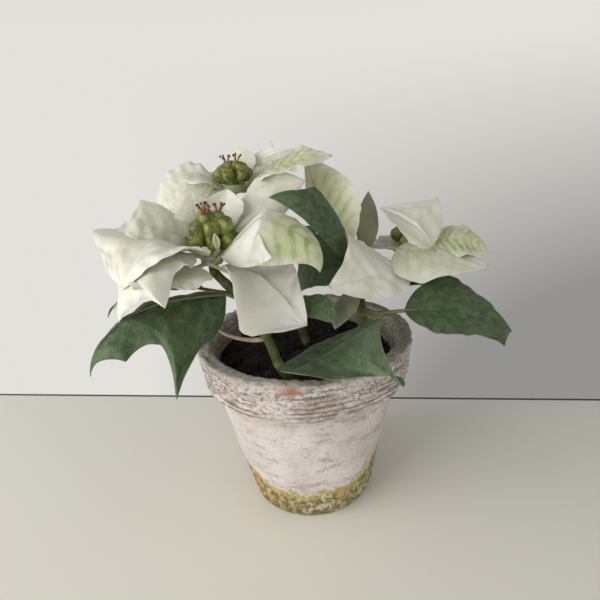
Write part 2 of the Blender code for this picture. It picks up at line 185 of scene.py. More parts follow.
# %% [markdown]
# ## Materials from nodes
#
# The materials are procedural. A short helper adds one node with its inputs by name, either a number or
# another node's output, so a recipe reads from top to bottom.

# %% Node helpers
MIX_INPUTS, MIX_OUTPUT = (0, 6, 7), 2


def feed(tree, socket, value):
    """Gives a socket its value: another node's output, a number or numbers, or a colour of three numbers."""
    if isinstance(value, bpy.types.NodeSocket):
        tree.links.new(value, socket)
    elif socket.type == "RGBA":
        socket.default_value = (*value, 1.0)
    else:
        socket.default_value = value


def add(tree, kind, settings=None, **inputs):
    """Adds a shader node. An input is fed by its name, with _ for a space."""
    made = tree.nodes.new("ShaderNode" + kind)
    for name, value in (settings or {}).items():
        setattr(made, name, value)
    for name, value in inputs.items():
        feed(tree, made.inputs[name.replace("_", " ")], value)
    return made


def number(tree, operation, *values):
    """A Math node's output, for one to three values."""
    made = tree.nodes.new("ShaderNodeMath")
    made.operation = operation
    for socket, value in zip(made.inputs, values):
        feed(tree, socket, value)
    return made.outputs[0]


def times(tree, first, second):
    """The first value times the second."""
    return number(tree, "MULTIPLY", first, second)


def scaled(tree, value, factor, start):
    """The value times the factor, and the start added to it."""
    return number(tree, "MULTIPLY_ADD", value, factor, start)


def fade(tree, value, low, high, start=0.0, end=1.0):
    """Start where the value is under low, end where it is over high, and a smooth change between them."""
    return add(tree, "MapRange", {"interpolation_type": "SMOOTHSTEP"}, Value=value,
               From_Min=low, From_Max=high, To_Min=start, To_Max=end).outputs[0]


def mixed(tree, share, first, second):
    """The first colour where share is 0, the second where it is 1, each three numbers or an output."""
    made = tree.nodes.new("ShaderNodeMix")
    made.data_type = "RGBA"
    for place, value in zip(MIX_INPUTS, (share, first, second)):
        feed(tree, made.inputs[place], value)
    return made.outputs[MIX_OUTPUT]


def noise(tree, place, scale, detail=3.0, roughness=0.55):
    """A Noise texture's value, about 0.5 on average."""
    return add(tree, "TexNoise", Vector=place, Scale=scale, Detail=detail, Roughness=roughness).outputs[0]


def object_place(tree):
    """The place on the object, in metres, so that a pattern has a real size."""
    return add(tree, "TexCoord").outputs["Object"]


def stretched(tree, place, factors):
    """The place with each axis times its factor. Over 1, a pattern is squeezed along that axis."""
    return add(tree, "Mapping", Vector=place, Scale=factors).outputs[0]


def point_marks(tree):
    """The three marks of the mesh's points: green or grooves, upper or outer, and stalk or joint."""
    marks = add(tree, "Attribute", {"attribute_name": "marks"}).outputs["Vector"]
    return add(tree, "SeparateXYZ", Vector=marks).outputs


def new_look(name, roughness, **constants):
    """An empty material with its Principled shader, and the constants set on the shader's own sockets."""
    look = bpy.data.materials.new(name)
    look.use_nodes = True
    tree = look.node_tree
    shader = tree.nodes["Principled BSDF"]
    shader.inputs["Roughness"].default_value = roughness
    for key, value in constants.items():
        shader.inputs[key.replace("_", " ")].default_value = value
    return look, tree, shader


def paint(tree, shader, colour):
    """Makes the colour the shader's base colour."""
    feed(tree, shader.inputs["Base Color"], colour)


def bump(tree, shader, height, distance, strength):
    """Lets the height, in metres times distance, tilt the shader's normal."""
    made = add(tree, "Bump", Height=height, Distance=distance, Strength=strength)
    tree.links.new(made.outputs[0], shader.inputs["Normal"])


# %% [markdown]
# ## The pot
#
# The pot is an ordinary 12 cm clay pot: a tapered body under a straight collar. Its rim is taken as 120 mm
# across. The fit that placed the camera gave its height, its base, the top of its body and the inside of its
# rim at that scale, and all but one were rounded. The collar's sizes are given without the fit. On the real
# one a potter's throwing lines run round the collar, and thick whitewash has been brushed over them and
# rubbed off again.
# The shape is a profile turned round the Z axis. The profile is walked in steps of under a millimetre where
# it shows, and every point is then pushed out along its normal by ridges and lumps, so the wear is in the
# mesh and not only painted on.

# %% Pot sizes
POT_HEIGHT = 100.0
RIM_RADIUS = 60.0
RIM_INNER_RADIUS = 52.0
COLLAR_HEIGHT = 22.0
COLLAR_FOOT_RADIUS = 57.5
BODY_TOP_RADIUS = 52.6
BASE_RADIUS = 35.0
CAVITY_FLOOR_RADIUS = 29.0
FLOOR_THICKNESS = 6.0
SOIL_LEVEL = 87.0
SOIL_CROWN = 2.0
GAP = 0.3


def rounded(corner, before, after, radius, steps=6):
    """A corner of a profile as a quadratic curve, from radius before the corner to radius after it."""
    corner, before, after = (np.array(spot, float) for spot in (corner, before, after))
    start = corner + radius * unit(before - corner)
    end = corner + radius * unit(after - corner)
    t = np.linspace(0, 1, steps)[:, None]
    return (1 - t) ** 2 * start + 2 * t * (1 - t) * corner + t**2 * end


def walked(profile, steps):
    """Points along a profile of straight runs, each run cut into pieces of about its own step."""
    runs = []
    for start, end, step in zip(profile, profile[1:], steps):
        count = max(1, round(float(np.linalg.norm(end - start)) / step))
        runs.append(start + (end - start) * (np.arange(count) / count)[:, None])
    return np.vstack(runs + [profile[-1:]])


def cavity_radius(height):
    """The radius of the pot's inside at a height: a straight taper from the floor to the rim."""
    share = (height - FLOOR_THICKNESS) / (POT_HEIGHT - FLOOR_THICKNESS)
    return CAVITY_FLOOR_RADIUS + share * (RIM_INNER_RADIUS - CAVITY_FLOOR_RADIUS)


def turned(profile, sides):
    """The points of a profile turned round Z: (r cos a, r sin a, z) for every profile point and angle."""
    angles = np.arange(sides) * 2 * math.pi / sides
    radius, height = profile[:, 0, None], profile[:, 1, None]
    return np.stack([radius * np.cos(angles), radius * np.sin(angles), height + 0 * angles], -1)


def turned_normals(points):
    """Outward normals of a turned grid, from the cross product of its two neighbour differences."""
    down = np.gradient(points, axis=0)
    round_z = np.roll(points, -1, axis=1) - np.roll(points, 1, axis=1)
    normals = np.cross(round_z, down)
    return normals / np.maximum(np.linalg.norm(normals, axis=-1, keepdims=True), 1e-9)


# %% [markdown]
# Five corners of the section are rounded, each by its own radius, as a wet clay edge is never sharp. Its
# runs are cut finest on the collar, where the throwing lines are, and coarsely inside, where soil hides the
# wall.

# %% The pot's section
COLLAR_UNDERCUT = 1.0
HEEL_ROUND, UNDER_ROUND, COLLAR_FOOT_ROUND, LIP_ROUND, MOUTH_ROUND = 1.5, 2.0, 4.0, 2.6, 2.2
RIM_STEPS = 9
COLLAR_STEP, FINE_STEP, COARSE_STEP = 0.65, 1.0, 6.0
INSIDE_SEEN_FROM = 84.0


def pot_profile():
    """The section of the pot from the middle of its base, up outside, over the rim and down inside."""
    collar_foot = POT_HEIGHT - COLLAR_HEIGHT
    base, heel = (0.0, 0.0), (BASE_RADIUS, 0.0)
    under, foot = (BODY_TOP_RADIUS, collar_foot - COLLAR_UNDERCUT), (COLLAR_FOOT_RADIUS, collar_foot)
    lip, mouth = (RIM_RADIUS, POT_HEIGHT), (RIM_INNER_RADIUS, POT_HEIGHT)
    inside, middle = (CAVITY_FLOOR_RADIUS, FLOOR_THICKNESS), (0.0, FLOOR_THICKNESS)
    profile = np.vstack([
        [base],
        rounded(heel, base, under, HEEL_ROUND),
        rounded(under, heel, foot, UNDER_ROUND),
        rounded(foot, under, lip, COLLAR_FOOT_ROUND),
        rounded(lip, foot, mouth, LIP_ROUND, RIM_STEPS),
        rounded(mouth, lip, inside, MOUTH_ROUND, RIM_STEPS),
        [inside],
        [middle],
    ])
    radius, height = profile[:-1].T
    seen = (radius > height * 0.2 + 33) | (height > INSIDE_SEEN_FROM)
    collar = seen & (radius > RIM_INNER_RADIUS - 1) & (height < POT_HEIGHT - 2)
    return walked(profile, np.where(collar, COLLAR_STEP, np.where(seen, FINE_STEP, COARSE_STEP)))


# %% [markdown]
# On a thrown pot the potter's fingers leave grooves that wander a little as they run round. Here they are a
# sine wave of the height, and slow lumps bend that height first, so that no groove is level or evenly deep.
# Chips sit along the two edges of the collar, and a crust of moss thickens the foot.

# %% The pot's relief
GROOVE_PITCHES = (3.1, 1.9)
GROOVES_MIDDLE, GROOVES_SPREAD = 82.0, 6.5
COLLAR_EDGE = 79.0
EDGE_SPREAD = 2.5


def throwing_lines(points):
    """How far each point stands out on the throwing lines, about -1 to 0.3: noise bends the height, grooves
    lie where the sine wave of that height is near its top, and they are deepest on the lower half of the
    collar."""
    height = points[..., 2]
    wander = height + 1.6 * lumps(points, 70, 3) + 0.4 * lumps(points, 22, 4, (1, 1, 0.6))
    wide, narrow = (np.sin(wander * 2 * math.pi / pitch) for pitch in GROOVE_PITCHES)
    grooves = eased(wide, 0.1, 0.95) + 0.5 * eased(narrow, 0.4, 1)
    where = np.exp(-((height - GROOVES_MIDDLE) / GROOVES_SPREAD) ** 2)
    where = where + 0.12 * eased(height, 66, 74) + 0.25 * eased(height, 88, 92)
    return (0.3 - grooves) * where * (0.75 + 0.5 * lumps(points, 34, 5))


def pot_relief(points):
    """How far each point of the pot is pushed out, in mm: throwing lines on and under the collar, a crust at
    the base, chips along the edges, brush strokes on the collar and soft dents on the body."""
    height = points[..., 2]
    collar = eased(height, 70, 80)
    strokes = (0.05 + 0.1 * collar) * lumps(points, 9, 6, (1, 1, 0.5))
    strokes = strokes + (0.03 + 0.09 * collar) * lumps(points, 3.4, 7)
    crust = (1 - eased(height, 10, 22)) * (0.25 * lumps(points, 3.0, 8) + 0.25 * lumps(points, 6.5, 9))
    edges = (POT_HEIGHT, COLLAR_EDGE)
    rim_edge, collar_edge = (np.exp(-((height - edge) / EDGE_SPREAD) ** 2) for edge in edges)
    chips = -0.5 * (rim_edge + 0.4 * collar_edge) * eased(lumps(points, 9, 10), 0.3, 0.9)
    dents = 0.35 * lumps(points, 60, 11) + 0.25 * lumps(points, 24, 12)
    return 0.5 * throwing_lines(points) + strokes + crust + chips + dents - 0.2


# %% Pot points
POT_SIDES = 320

pot_points = turned(pot_profile(), POT_SIDES)
pot_radius = np.hypot(pot_points[..., 0], pot_points[..., 1])
is_outer = pot_radius > cavity_radius(pot_points[..., 2]) + 3.0
is_rim = pot_points[..., 2] > SOIL_LEVEL + 1.0
worn = np.where(is_outer | is_rim, eased(pot_points[..., 2], 0.5, 3.0), 0.0)
pot_points = pot_points + turned_normals(pot_points) * (pot_relief(pot_points) * worn)[..., None]
pot_marks = np.zeros(pot_points.shape)
pot_marks[..., 0] = eased(-throwing_lines(pot_points), 0.0, 0.6) * worn
pot_marks[..., 1] = is_outer
print("pot:", pot_points.shape[0], "rows of", POT_SIDES)

# %% [markdown]
# ### The pot's finish
#
# Three layers lie over the clay. Pinkish whitewash covers most of it. Brown-mauve scum shows through it in
# the throwing lines, in crowded specks on the collar and in faint smears on the body, and one chip shows the
# bright clay. Round the base sits a crust of ochre and olive moss, which climbs higher at the two sides. Its
# olive speckles grow denser downwards and its foot is painted darker, partly moss and partly painted shade.
# Each layer is a function of its own, and smears come from noise that is squeezed along Z, because its spots
# then stretch out sideways.

# %% Whitewashed clay
WHITEWASH = (0.53, 0.48, 0.465)
CHALK = (0.64, 0.60, 0.585)
SCUM = (0.15, 0.112, 0.09)
MAUVE = (0.39, 0.325, 0.30)
UMBER = (0.22, 0.17, 0.14)
BARE_CLAY = (0.30, 0.10, 0.055)
OCHRE = (0.37, 0.29, 0.10)
AMBER = (0.47, 0.30, 0.10)
PALE_OCHRE = (0.54, 0.48, 0.27)
OLIVE = (0.095, 0.08, 0.025)
LIP_GREY = (0.40, 0.38, 0.33)
INSIDE_DARK = (0.16, 0.15, 0.095)
CHIP_SPOT, CHIP_SQUEEZE = (-0.0083, -0.0600, 0.0968), (0.6, 1.0, 1.3)
SHORE_FRONT, SHORE_SIDE, SHORE_SLANT = 0.0215, 0.034, 0.05


def whitewash(tree, place, height, grooves):
    """The brushed paint: patches of chalk, mauve smears, dark grooves, and brown specks on the collar."""
    across = stretched(tree, place, (1.0, 1.0, 2.6))
    patches = noise(tree, place, 32, 3)
    smears = noise(tree, across, 60, 5, 0.66)
    grain = noise(tree, stretched(tree, place, (1.0, 1.0, 1.4)), 430, 5, 0.75)
    collar = fade(tree, height, 0.074, 0.086)
    top = fade(tree, height, 0.083, 0.089)
    colour = mixed(tree, fade(tree, patches, 0.35, 0.65), WHITEWASH, CHALK)
    smeared = fade(tree, scaled(tree, collar, 0.03, smears), 0.47, 0.66)
    colour = mixed(tree, times(tree, smeared, fade(tree, grain, 0.35, 0.55, 0.25, 0.95)), colour, MAUVE)
    colour = mixed(tree, fade(tree, grain, 0.50, 0.62, 0.0, 0.35), colour, MAUVE)
    worn = scaled(tree, patches, 0.25, noise(tree, across, 190, 6, 0.78))
    worn = times(tree, fade(tree, worn, 0.60, 0.72), fade(tree, height, 0.072, 0.080, 0.12, 0.8))
    colour = mixed(tree, worn, colour, UMBER)
    dirty = times(tree, grooves, fade(tree, smears, 0.34, 0.56, 0.15, 0.95))
    colour = mixed(tree, dirty, colour, SCUM)
    crowd = times(tree, top, fade(tree, patches, 0.38, 0.58, 0.35, 1.0))
    crowd = scaled(tree, crowd, 0.09, times(tree, collar, 0.035))
    specks = fade(tree, number(tree, "ADD", crowd, grain), 0.61, 0.67)
    colour = mixed(tree, times(tree, specks, 0.75), colour, SCUM)
    return colour, smears, grain


def moss_cover(tree, place, axes, grain):
    """The mossy crust's colour and cover: it lies below a shore that rises at the sides and to the right, and
    darkens downwards, partly as painted shade.
    """
    side = number(tree, "ABSOLUTE", axes[0])
    shore = fade(tree, side, 0.014, 0.038, SHORE_FRONT, SHORE_SIDE)
    shore = scaled(tree, axes[0], SHORE_SLANT, shore)
    ragged = scaled(tree, noise(tree, place, 75, 4, 0.6), 0.020, -0.010)
    shore = number(tree, "ADD", shore, ragged)
    below = number(tree, "SUBTRACT", shore, axes[2])
    deep = fade(tree, below, 0.001, 0.010)
    clumps = noise(tree, place, 300, 4, 0.7)
    moss = mixed(tree, fade(tree, noise(tree, place, 90, 3), 0.42, 0.62), OCHRE, PALE_OCHRE)
    moss = mixed(tree, fade(tree, axes[0], -0.030, -0.018, 0.75, 0.0), moss, AMBER)
    # The olive speckles grow denser further below the shore: partly moss, and towards the bottom painted
    # shade.
    dark = fade(tree, scaled(tree, deep, 0.07, clumps), 0.51, 0.62)
    moss = mixed(tree, times(tree, dark, fade(tree, deep, 0.2, 1.0, 0.35, 0.9)), moss, OLIVE)
    # Painted shade: the moss darkens to olive over the lowest 9 mm, at the foot.
    moss = mixed(tree, fade(tree, axes[2], 0.0, 0.009, 0.55, 0.0), moss, OLIVE)
    flecks = fade(tree, grain, 0.56, 0.66)
    moss = mixed(tree, times(tree, flecks, 0.5), moss, PALE_OCHRE)
    cover = times(tree, fade(tree, below, -0.0015, 0.0025), fade(tree, clumps, 0.30, 0.46, 0.3, 0.97))
    return moss, cover, clumps


def chip_mark(tree, place, grain, smears):
    """0.9 on the one chip that bares the clay, and 0 away from it: a ball round its spot, ragged by noise."""
    away = add(tree, "VectorMath", {"operation": "DISTANCE"})
    feed(tree, away.inputs[0], stretched(tree, place, CHIP_SQUEEZE))
    feed(tree, away.inputs[1], [spot * squeeze for spot, squeeze in zip(CHIP_SPOT, CHIP_SQUEEZE)])
    ragged = scaled(tree, grain, 0.012, away.outputs["Value"])
    ragged = scaled(tree, smears, 0.012, ragged)
    return fade(tree, ragged, 0.0142, 0.0156, 0.9, 0.0)


def pot_look():
    """Whitewash, and over it a grey lip, a darker inside, the bare chip and the moss, in that order."""
    look, tree, shader = new_look("whitewashed_clay", 0.92)
    place = object_place(tree)
    axes = add(tree, "SeparateXYZ", Vector=place).outputs
    mark = point_marks(tree)
    height = axes[2]
    colour, smears, grain = whitewash(tree, place, height, mark[0])
    lip = times(tree, fade(tree, height, 0.0965, 0.0995), fade(tree, grain, 0.4, 0.6, 0.9, 0.35))
    colour = mixed(tree, lip, colour, LIP_GREY)
    # The inside above the soil is darker, most near the soil.
    inside = times(tree, fade(tree, mark[1], 0.4, 0.6, 1.0, 0.0), fade(tree, height, 0.088, 0.0985, 1.0, 0.0))
    colour = mixed(tree, times(tree, inside, fade(tree, smears, 0.3, 0.7, 0.9, 0.5)), colour, INSIDE_DARK)
    colour = mixed(tree, chip_mark(tree, place, grain, smears), colour, BARE_CLAY)
    moss, cover, clumps = moss_cover(tree, place, axes, grain)
    colour = mixed(tree, cover, colour, moss)
    paint(tree, shader, colour)
    relief = scaled(tree, times(tree, clumps, cover), 1.5, grain)
    relief = scaled(tree, mark[0], -0.4, relief)
    bump(tree, shader, relief, 0.0006, 0.7)
    return look


pot_faces = grid_faces(len(pot_points), POT_SIDES, True)
pot_part = part(pot_points, pot_faces, marks=pot_marks.reshape(-1, 3))
piece("pot_whitewashed", [pot_part], pot_look(), "pot")

# %% [markdown]
# ## The soil
#
# Nearly black potting soil lies a little below the rim. Its top is a turned surface with lumps, and loose
# crumbs are scattered on it. Each crumb is a tiny ball with uneven corners, with a few dozen faces, because
# there are hundreds of them.

# %% Soil
SOIL_SIDES = 180
SOIL_WALL_STEP, SOIL_TOP_STEP = 9.0, 0.9
CRUMBS = 620
CRUMB_ROWS, CRUMB_SIDES = 5, 7
CRUMB_LEAST, CRUMB_SPREAD = 0.5, 1.3
WET_SOIL, DRY_SOIL = (0.006, 0.0055, 0.005), (0.030, 0.025, 0.021)


def soil_part():
    """A turned solid that follows the pot's inside, with a lumpy top."""
    bottom = FLOOR_THICKNESS + GAP
    edge = cavity_radius(SOIL_LEVEL) - GAP
    profile = np.array([(0.0, bottom), (cavity_radius(bottom) - GAP, bottom), (edge, SOIL_LEVEL),
                        (edge * 0.6, SOIL_LEVEL + SOIL_CROWN), (0.0, SOIL_LEVEL + SOIL_CROWN)])
    steps = (SOIL_WALL_STEP, SOIL_WALL_STEP, SOIL_TOP_STEP, SOIL_TOP_STEP)
    points = turned(walked(profile, steps), SOIL_SIDES)
    on_top = eased(points[..., 2], SOIL_LEVEL - 1, SOIL_LEVEL)
    points[..., 2] += on_top * (0.8 * lumps(points, 13, 20) + 0.5 * lumps(points, 5, 21) - 0.6)
    return part(points, grid_faces(len(points), SOIL_SIDES, True))


def crumb_parts():
    """Crumbs on the soil: balls whose points are drawn in or out at random, at random places on the top."""
    draw = np.random.default_rng(5)
    polar = np.linspace(0, math.pi, CRUMB_ROWS)[:, None]
    turn = np.arange(CRUMB_SIDES) * 2 * math.pi / CRUMB_SIDES
    ring = np.sin(polar)
    ball = np.stack([ring * np.cos(turn), ring * np.sin(turn), np.cos(polar) + 0 * turn], -1)
    edge = cavity_radius(SOIL_LEVEL) - 2.0
    radius = edge * np.sqrt(draw.uniform(0, 1, CRUMBS))
    angle = draw.uniform(0, 2 * math.pi, CRUMBS)
    size = CRUMB_LEAST + CRUMB_SPREAD * draw.uniform(0, 1, CRUMBS) ** 2.5
    height = SOIL_LEVEL + SOIL_CROWN * (1 - radius / edge) + 0.2 * size
    places = np.stack([radius * np.cos(angle), radius * np.sin(angle), height], -1)
    uneven = 1 + 0.28 * lumps(ball[None] + places[:, None, None], 2.2, 22)
    stretch = draw.uniform(0.6, 1.3, (CRUMBS, 1, 1, 3)) * size[:, None, None, None]
    balls = places[:, None, None] + ball[None] * uneven[..., None] * stretch
    return [part(points, grid_faces(CRUMB_ROWS, CRUMB_SIDES, True)) for points in balls]


def soil_look():
    """Fine grains from nearly black to dark brown, which also make the surface rough."""
    look, tree, shader = new_look("soil", 0.95)
    place = object_place(tree)
    grains = noise(tree, place, 420, 5, 0.7)
    colour = mixed(tree, fade(tree, grains, 0.42, 0.68), WET_SOIL, DRY_SOIL)
    paint(tree, shader, colour)
    bump(tree, shader, grains, 0.0010, 0.9)
    return look


piece("soil_crumbly", [soil_part(), *crumb_parts()], soil_look(), "soil")

# %% [markdown]
# ## A leaf or a bract
#
# A poinsettia's white "petals" are bracts, which are leaves that lost their green, so one function makes
# both. Its two parameters are the place along the midrib and the place across it. The midrib is a path whose
# direction turns and sinks on its way. The section across it is a circular arc, so the halves fold up and
# curl. The outline is the curve s^a (1 - s)^b, widest at the belly and pointed at the tip, with lobes added
# to its edge. On that smooth surface lie the things that make it a leaf: the hollow of the midrib, side
# veins with the skin puffed up between them, and an edge that waves.

# %% What makes a blade
def blade(root, turn, rise, droop, length, width, swing=0, late=1.5, roll=0, twist=0, fold=8, curl=-15,
          lean=0.0, stalk=6, belly=0.42, point=0.95, lobes=(), foot=None, crease=(0.5, 0), green=0.1,
          wave=0.7, puff=0.05, soft=0.6, valley=0.25):
    """One leaf or bract, in mm and degrees. It leaves its root at the angle turn round Z and rise above
    level, and droops and swings on its way to the tip. Its width is turned by roll and twist about the
    midrib, its halves fold up from the midrib and curl, and lean makes the left half the wider. A lobe is a
    side (1 left, -1 right), a place along the blade, a size in half widths and, for a blunt one, its reach.
    Foot is where its stalk starts. A crease is a place along the blade and how sharply it is bent down
    there. Green is how green a bract is, or its inner and its outer half, and under 0 it is painted whiter,
    as painted light. Wave is how far its edge waves, puff how far its skin stands up between the veins, soft
    how far it is dented, and valley how round its fold is."""
    return dict(root=root, turn=turn, rise=rise, droop=droop, length=length, width=width, swing=swing,
                late=late, roll=roll, twist=twist, fold=fold, curl=curl, lean=lean, stalk=stalk, belly=belly,
                point=point, lobes=lobes, foot=foot, crease=crease, green=green, wave=wave, puff=puff,
                soft=soft, valley=valley)


# %% [markdown]
# A blade could be sculpted, or a flat cut-out bent with a lattice. A formula is easier to change here,
# because the same few numbers then give every blade its own bend. The direction of the midrib is worked out
# at about a hundred steps and added up to a path. The width at each place comes from the outline, and is
# never less than a narrow neck.

# %% The midrib and the outline
SPINE_STEPS = 97
CREASE_REACH = 0.035
LOBE_REACH = 0.16
LOBE_FORWARD = 0.5
LOBE_SHARPNESS = 1.4
NECK_HALF_WIDTH = 0.9
TIP_HALF_WIDTH = 0.12


def midrib(shape):
    """Places 0 to 1, and there the path, its direction, and the directions left and up of the blade."""
    steps = np.linspace(0, 1, SPINE_STEPS)
    place, bend = shape["crease"]
    sink = shape["rise"] - shape["droop"] * steps ** shape["late"]
    sink = np.radians(sink - bend * eased(steps, place - CREASE_REACH, place + CREASE_REACH))
    turn = np.radians(shape["turn"] + shape["swing"] * steps)
    ahead = np.stack([np.cos(sink) * np.cos(turn), np.cos(sink) * np.sin(turn), np.sin(sink)], -1)
    strides = (ahead[1:] + ahead[:-1]) / 2 * shape["length"] / (SPINE_STEPS - 1)
    path = np.array(shape["root"], float) + np.vstack([np.zeros(3), np.cumsum(strides, axis=0)])
    level = np.stack([-np.sin(turn), np.cos(turn), 0 * turn], -1)
    upward = np.cross(ahead, level)
    roll = np.radians(shape["roll"] + shape["twist"] * steps)[:, None]
    left = np.cos(roll) * level + np.sin(roll) * upward
    up = np.cos(roll) * upward - np.sin(roll) * level
    return steps, path, ahead, left, up


def on_midrib(shape, along):
    """The path, direction, left and up at places 0 to 1 along the blade, from where its stalk ends."""
    steps, *frames = midrib(shape)
    stalk = shape["stalk"] / shape["length"]
    place = stalk + along * (1 - stalk)
    return [
        np.stack([np.interp(place, steps, values[:, axis]) for axis in range(3)], -1)
        for values in frames
    ]


def half_width(shape, along, side):
    """Half the blade's width s^a (1 - s)^b, 1 at the belly, with its lobes, and how far a lobe leans on."""
    rise_power = shape["point"] * shape["belly"] / (1 - shape["belly"])
    peak = shape["belly"] ** rise_power * (1 - shape["belly"]) ** shape["point"]
    outline = along**rise_power * (1 - along) ** shape["point"] / peak
    half = shape["width"] / 2
    width = half * outline * (1 + shape["lean"] * np.sign(side))
    forward = np.zeros_like(width)
    for lobe_side, place, size, *reach in shape["lobes"]:
        reach = reach[0] if reach else LOBE_REACH
        bump_there = np.clip(1 - np.abs(along - place) / reach, 0, 1) ** LOBE_SHARPNESS
        bump_there = bump_there * (np.sign(side) == lobe_side)
        width = width + half * size * bump_there
        forward = forward + LOBE_FORWARD * half * size * bump_there * np.abs(side)
    least = np.maximum(NECK_HALF_WIDTH * np.sqrt(1 - along), TIP_HALF_WIDTH)
    return np.maximum(width, least), forward


# %% [markdown]
# Live skin is never flat: it stands up softly between the veins, dips over the midrib, and ripples where the
# edge grew faster than the middle. The relief is a height in millimetres that lifts the smooth blade along
# its normal.

# %% The skin of a blade
SIDE_VEINS = 8
VEIN_SWEEP = 0.2
FULL_RELIEF_WIDTH = 12.0


def vein_relief(shape, along, side):
    """Height over the smooth blade, in mm: a hollow along the midrib, skin puffed by |sin| between side
    veins that sweep forward, soft dents, an edge that waves more the further out it is, and a narrow hem
    that turns down."""
    across = np.abs(side)
    phase = (along - VEIN_SWEEP * across**1.2) * SIDE_VEINS
    open_skin = eased(across, 0.0, 0.25) * (1 - 0.6 * eased(across, 0.75, 1.0))
    fade_out = eased(along, 0.0, 0.12) * (1 - eased(along, 0.85, 1.0))
    puffed = shape["puff"] * (np.abs(np.sin(math.pi * phase)) ** 0.6) * open_skin * fade_out
    hollow = -0.35 * np.exp(-(across / 0.07) ** 2) * (1 - along)
    seed = int(abs(shape["turn"] * 7 + shape["length"] * 13 + shape["rise"])) % 1000
    flat = np.stack([along * shape["length"], side * shape["width"] / 2, 0 * along], -1)
    dents = 0.6 * lumps(flat, 17, seed) + 0.25 * lumps(flat, 7.5, seed + 1)
    dents = shape["soft"] * dents * eased(along, 0.0, 0.2)
    edge = lumps(flat, 13, seed + 2, (1, 3, 1)) + 0.6 * lumps(flat, 6.5, seed + 3, (1, 3, 1))
    waved = shape["wave"] * across**2.6 * edge * eased(along, 0.02, 0.25)
    waved = waved * (1 - 0.6 * eased(along, 0.75, 1.0))
    hem = -0.3 * shape["wave"] * np.clip((across - 0.86) / 0.14, 0, 1) ** 2
    return puffed + hollow + dents + waved + hem


def blade_surface(shape, along, side):
    """Points and normals of the blade's middle surface, at places 0 to 1 along it and -1 to 1 across it.
    From the midrib, a point lies left by w / c (sin(f + c |side|) - sin f) and up by w / c (cos f - cos(f +
    c |side|)), for half width w, fold f and curl c, and is then lifted along the normal by the relief. The
    fold's sharp valley is filled by w tan f (sqrt(side^2 + m^2) - |side|), so that the two halves meet in a
    round."""
    path, ahead, left, up = on_midrib(shape, along)
    width, forward = half_width(shape, along, side)
    fold, curl = math.radians(shape["fold"]), math.radians(shape["curl"])
    slope = fold + curl * np.abs(side)
    out = width / curl * (np.sin(slope) - math.sin(fold)) * np.sign(side)
    lift = width / curl * (math.cos(fold) - np.cos(slope))
    points = path + left * out[..., None] + up * lift[..., None] + ahead * forward[..., None]
    normals = unit(up * np.cos(slope)[..., None] - left * (np.sin(slope) * np.sign(side))[..., None])
    scale = np.clip(width / FULL_RELIEF_WIDTH, 0, 1)
    valley = np.sqrt(side**2 + shape["valley"] ** 2) - np.abs(side)
    rounding = width * math.tan(fold) * valley * (1 - np.abs(side)) ** 2
    return points + normals * (vein_relief(shape, along, side) * scale + rounding)[..., None], normals


# %% [markdown]
# A leaf seen from its edge has a thickness, so the surface becomes a thin closed sheet: one grid half the
# thickness above it, one below, and a strip round the edge. The grid is a little denser near the midrib,
# where it bends most. The stalk runs on under the blade as its rib, as on the real plant.

# %% A closed blade
ROWS = 78
HALF_COLUMNS = 15
COLUMN_CROWDING, ROW_CROWDING = 1.15, 0.9
BLADE_THICKNESS = 0.4
EDGE_THINNING = 0.55
GREEN_TURNS = (0.4, 0.6)


def blade_part(shape):
    """The blade as a thin closed sheet: an upper and a lower grid, and a strip round their edge."""
    t = np.linspace(-1, 1, 2 * HALF_COLUMNS + 1)
    columns = np.sign(t) * np.abs(t) ** COLUMN_CROWDING
    rows = np.linspace(0, 1, ROWS) ** ROW_CROWDING
    along, side = np.meshgrid(rows, columns, indexing="ij")
    points, normals = blade_surface(shape, along, side)
    thin = BLADE_THICKNESS / 2 * (1 - EDGE_THINNING * np.abs(side) ** 3)[..., None]
    upper, lower = points + normals * thin, points - normals * thin
    count, width = along.size, len(columns)
    faces = grid_faces(ROWS, width)
    edge = np.concatenate([
        np.arange(ROWS) * width,
        (ROWS - 1) * width + np.arange(1, width),
        np.arange(ROWS - 2, -1, -1) * width + width - 1,
        np.arange(width - 2, 0, -1),
    ])
    after = np.roll(edge, -1)
    strip = np.stack([edge, after, after + count, edge + count], -1)
    uv = np.stack([side / 2 + 0.5, along], -1).reshape(-1, 2)
    marks = np.zeros((2 * count, 3))
    marks[:, 0] = np.tile(np.interp(uv[:, 1], GREEN_TURNS, np.broadcast_to(shape["green"], 2)), 2)
    marks[:count, 1] = 1.0
    return part(np.concatenate([upper.reshape(-1, 3), lower.reshape(-1, 3)]),
                np.concatenate([faces, faces[:, ::-1] + count, strip]), np.concatenate([uv, uv]), marks)


# %% Rods and stalks
STALK_RADIUS = 1.15
STALK_SIDES = 10
RIB_PLACES = (0.02, 0.9, 12)
RIB_DEPTH = 0.28


def points_along(route, steps):
    """A smooth cubic curve through the route's points, with the steps given between each two."""
    route = np.array(route, float)
    ends = np.vstack([2 * route[0] - route[1], route, 2 * route[-1] - route[-2]])
    t = (np.arange(steps) / steps)[:, None]
    curves = [
        a + (c - z) * t / 2 + (2 * z - 5 * a + 4 * c - d) * t**2 / 2 + (3 * a - z - 3 * c + d) * t**3 / 2
        for z, a, c, d in zip(ends, ends[1:], ends[2:], ends[3:])
    ]
    return np.vstack(curves + [route[-1:]])


